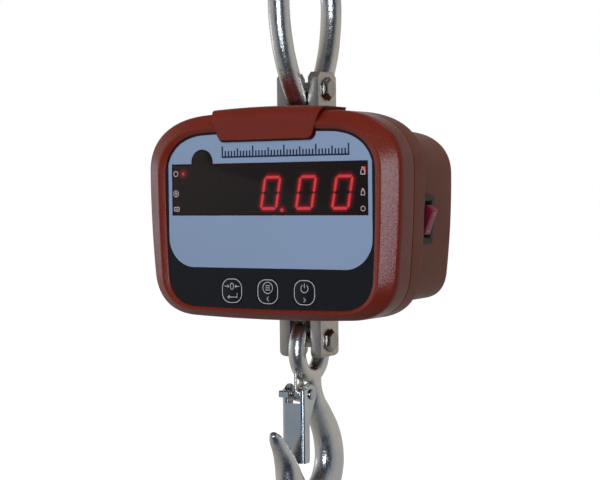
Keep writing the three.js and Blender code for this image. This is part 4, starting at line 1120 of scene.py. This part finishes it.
def hook():
    """Arm, eye, latch lug and rib drawn as separate solids, then merged and eased like a forging."""
    arm = hook_arm()
    eye_y, eye_z, eye_bar = 21.5, 24, 8
    drop = 7 + GAP - (eye_z - eye_bar)
    oval = [(0, eye_y * sin(a), drop + eye_z * cos(a)) for a in around(72)]
    eye = tube("eye", oval, eye_bar, 24, LOWER_BOLT, closed=True)
    inner = [Vector(((eye_y - eye_bar) * cos(a), drop + (eye_z - eye_bar) * sin(a)))
             for a in around(60)]
    cut(arm, side_slab("inner", inner, -20, 20, LOWER_BOLT))
    py, pz = PIVOT.y, PIVOT.z - LOWER_BOLT.z
    shape = [(0, pz - 12)] + arc(py, pz, 7.2, 270, 90, 20) + [(0, pz + 12)]
    lug = side_slab("lug", shape, -5, 5, LOWER_BOLT)
    rib_y = -26
    shape = [(-4, pz - 4), (py - 6.4, pz - 4), (rib_y, pz + 3), (rib_y, pz + 28), (-20, pz + 34),
             (-4, pz + 24)]
    rib = side_slab("rib", shape, -1.6, 1.6, LOWER_BOLT)
    shape = [(rib_y + 2.8, pz + 7), (-8, pz + 7), (-10, pz + 22), (rib_y + 2.8, pz + 25)]
    rib_opening = side_slab("rib_opening", shape, -9, 9, LOWER_BOLT)
    cut(rib, rib_opening, bore(9, 3.35, PIVOT))
    cut(lug, bore(9, 3.35, PIVOT))
    forging = joined(arm, eye, lug, rib)
    merge = forging.modifiers.new("merge", "REMESH")
    merge.mode = "VOXEL"
    merge.voxel_size = 0.85 * MM
    ease = forging.modifiers.new("ease", "SMOOTH")
    ease.factor = 0.5
    ease.iterations = 5
    settle(forging)
    uneven(forging, 0.14, 12)
    finish(forging, "forged_steel", "hook", "hook", angle=80)


def latch_pin():
    low, high = (corner.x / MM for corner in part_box("latch_pin"))
    head = 2
    rivet = [(0, 2.6), (0.3, 3.9), (1, 4.7), (head, 4.8), (head + 0.01, 3)]
    profile = [(low + x, r) for x, r in rivet] + [(high - x, r) for x, r in reversed(rivet)]
    pin = turned("riveted_pin", profile, "x", PIVOT, 36)
    finish(pin, "plated_steel", "hook", "latch_pin")


def latch():
    """Folded sheet: a web towards the mouth, two flanges with ears round the pin, a thumb lip."""
    w, sheet, fold = 12, 1.6, 4
    front, depth, top, end, ear = -12.7, 9.5, 4, -61.6, 8.8
    back = front + depth
    reach = ear + 2
    outer = rounded([(-w, reach), (-w, front), (w, front), (w, reach)], [0, fold, fold, 0], 9)
    v, f = w - sheet, front + sheet
    inner = rounded([(-v, reach), (-v, f), (v, f), (v, reach)], [0, fold - sheet, fold - sheet, 0], 9)
    plan = outer + list(reversed(inner))
    channel = loft("latch_channel", [[(p.x, p.y, z) for p in plan] for z in (end - 1, ear + 1)], PIVOT)
    cheek = [(front - 1, end), (back - 3, end)] + bezier([(back - 3, end), (back, end), (back, end + 3)], 5)
    cheek += [(back, end + 3), (back, -24)]
    cheek += bezier([(back, -24), (2, -14), (ear * 0.8, -ear * 0.6)], 8)
    turn = 0.6435
    cheek += [(ear * cos(a), ear * sin(a)) for a in (k / 18 * (0.8 * pi + turn) - turn for k in range(19))]
    cheek += [(front - 1, top)]
    common(channel, side_slab("cheek", cheek, -w - 2, w + 2, PIVOT))
    v = w - fold
    notch = rounded([(-v, top + 9), (-v, top - 11.5), (v, top - 11.5), (v, top + 9)], [0, 2, 2, 0], 4)
    throat = slab("throat", notch, front - 3, front + 8, PIVOT)
    cut(channel, throat, bore(w + 1, 3.35, PIVOT, 32))
    lip, drop = 4.6, 6
    near, far = front - lip + sheet, front - lip
    arch = rounded([(front + 1, top - sheet), (near, top - sheet), (near, top - drop),
                    (far, top - drop), (far, top), (front + 1, top)], [0, 0.8, 0.4, 0.4, 1.8, 0], 5)
    thumb = side_slab("thumb", arch, -w + 0.1, -w + 10, PIVOT)
    combine(channel, [thumb], "UNION")
    eased(channel, 0.3, 2, 45)
    finish(channel, "latch_plate", "latch", "latch", slot="plated_steel")


def latch_spring():
    """A two-turn coil round the pin, with one leg down the inside of the latch's web."""
    wire, coil = 0.8, 4.6
    x0, x1 = -12 + 1.6 + GAP + wire, -5 - GAP - wire
    turns, steps = 2, 48
    leg_y = -12.7 + 1.6 + GAP + wire
    path = [(x0, leg_y, -26), (x0, leg_y * 0.8 - coil * 0.2, -14)]
    path += [(x0 + (x1 - x0) * k / steps, coil * cos(a), coil * sin(a))
             for k, a in ((k, pi + k / steps * turns * tau) for k in range(steps + 1))]
    spring = tube("spring_wire", path, wire, 12, PIVOT)
    finish(spring, "plated_steel", "latch", "latch_spring", angle=60)


# --- nodes that keep their CAD shape
CAD_LOOKS = {
    "machined_steel": ("load_cell_bracket",),
    "plated_steel": ("bracket_screw",),
    "black_rubber": ("housing_gasket", "top_seal", "bottom_seal"),
    "black_plastic": ("digit_module", "ir_receiver", "key_switch", "battery_strap", "switch_body"),
    "green_board": ("display_board", "main_board", "key_board"),
    "battery_case": ("battery",),
}


def carried_over():
    for name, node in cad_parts.items():
        if node.hide_render:
            continue
        looks = [look for look, starts in CAD_LOOKS.items() if name.startswith(starts)]
        if not looks:
            raise RuntimeError(f"{name} has no finish")
        paint(node, looks[0])
        smooth(node)
        soften(node, 0.25)


# --- studio
VIEWER = Vector((0.523, -0.852, 0))


# Area lights: name, place, aim, size, power in watts, colour.
LIGHTS = (
    ("viewer_strip", (0.98, -1.97, -0.2), (0, 0, -0.2), (0.95, 1.0), 19.3, (0.82, 0.90, 1.0)),
    ("left_box", (-2.1, -0.1, -0.22), (0, 0, -0.22), (0.6, 0.5), 1.6, (0.72, 0.83, 1.0)),
    ("high_key", (0.1, -1.85, 1.15), (0, 0, -0.2), (1.2, 0.7), 27, (1.0, 0.99, 0.98)),
    ("top_box", (0.4, 0.4, 1.6), (0, 0, -0.2), (1.0, 0.8), 2.5, (1.0, 0.95, 0.90)),
)


def studio():
    """A white floor and four area lights, of which high_key leaves no highlight."""
    floor_z = cad_box[0].z - 0.09
    far = 9000
    floor = add_mesh("floor", [(-far, -far, 0), (far, -far, 0), (far, far, 0), (-far, far, 0)],
                     [(0, 1, 2, 3)], (0, 0, floor_z / MM))
    paper = Finish("floor", roughness=0.9, emission_strength=0.9)
    paper.shader.inputs["Emission Color"].default_value = (1, 1, 1, 1)
    paper.colour(paper.ramp(paper.noise(200, 2), (0.3, (0.50, 0.50, 0.50)), (0.7, (0.52, 0.52, 0.52))))
    paint(floor, "floor")
    floor.visible_glossy = False
    floor.visible_diffuse = False
    for name, place, aim, size, power, colour in LIGHTS:
        light = bpy.data.objects.new(name, bpy.data.lights.new(name, "AREA"))
        light.data.shape = "RECTANGLE"
        light.data.size, light.data.size_y = size
        light.data.energy = power
        light.data.color = colour
        light.location = place
        light.rotation_euler = (Vector(aim) - Vector(place)).to_track_quat("-Z", "Y").to_euler()
        light.visible_glossy = name != "high_key"
        show(light)


def surroundings():
    """A grey room, dark on the viewer's side and overhead; plain white when looked at directly."""
    world = bpy.data.worlds.new("studio")
    bpy.context.scene.world = world
    world.use_nodes = True
    world.node_tree.nodes.clear()
    room = Graph(world.node_tree)
    place = room.node("TexCoord").outputs["Generated"]

    def tone(direction, *stops):
        """A colour that changes with the cosine of the angle to a direction."""
        dot = room.node("VectorMath")
        dot.operation = "DOT_PRODUCT"
        dot.inputs[1].default_value = direction
        room.link(place, dot.inputs[0])
        spread = room.node("MapRange", From_Min=-1)
        room.link(dot.outputs["Value"], spread.inputs["Value"])
        return room.ramp(spread.outputs["Result"], *[((c + 1) / 2, colour) for c, colour in stops])

    sideways = tone(VIEWER, (0.05, (0.52, 0.50, 0.47)), (0.44, (0.36, 0.39, 0.43)),
                    (0.72, (0.03, 0.035, 0.05)))
    height = tone((0, 0, 1), (-1, (0.5, 0.5, 0.5)), (-0.25, (0.95, 0.95, 0.95)), (0.3, (1, 1, 1)),
                  (0.65, (0.30, 0.30, 0.31)))
    both = room.node("Mix")
    both.data_type = "RGBA"
    both.blend_type = "MULTIPLY"
    both.inputs["Factor"].default_value = 1
    room.link(sideways, both.inputs["A"])
    room.link(height, both.inputs["B"])
    lit = room.node("Background")
    room.link(both.outputs["Result"], lit.inputs["Color"])
    plain = room.node("Background", Color=(1, 1, 1, 1))
    choose = room.node("MixShader")
    room.link(room.node("LightPath").outputs["Is Camera Ray"], choose.inputs[0])
    room.link(lit.outputs[0], choose.inputs[1])
    room.link(plain.outputs[0], choose.inputs[2])
    room.link(choose.outputs[0], room.node("OutputWorld").inputs["Surface"])


# --- assembly
lifting_ring()
load_cell()
cross_bolt("top_bolt", TOP_BOLT)
cross_bolt("bottom_bolt", LOWER_BOLT)
front_shell()
brow_cover()
back_shell()
for i, (x, z) in enumerate(HOUSING_SCREWS):
    cross_screw(f"housing_screw_{i + 1}", x, z, FLANGE_Y - 4.65, 3.5, 2.6)
battery_door()
for i, (x, z) in enumerate(DOOR_SCREWS):
    cross_screw(f"battery_door_screw_{i + 1}", x, z, REAR_Y - 1.3, 2.8, 1.1)
charge_socket()
power_switch()
film()
window()
panel_rule()
window_marks()
keys()
digits()
hook()
latch_pin()
latch()
latch_spring()
carried_over()
studio()
surroundings()
bpy.context.scene.view_settings.view_transform = "Standard"
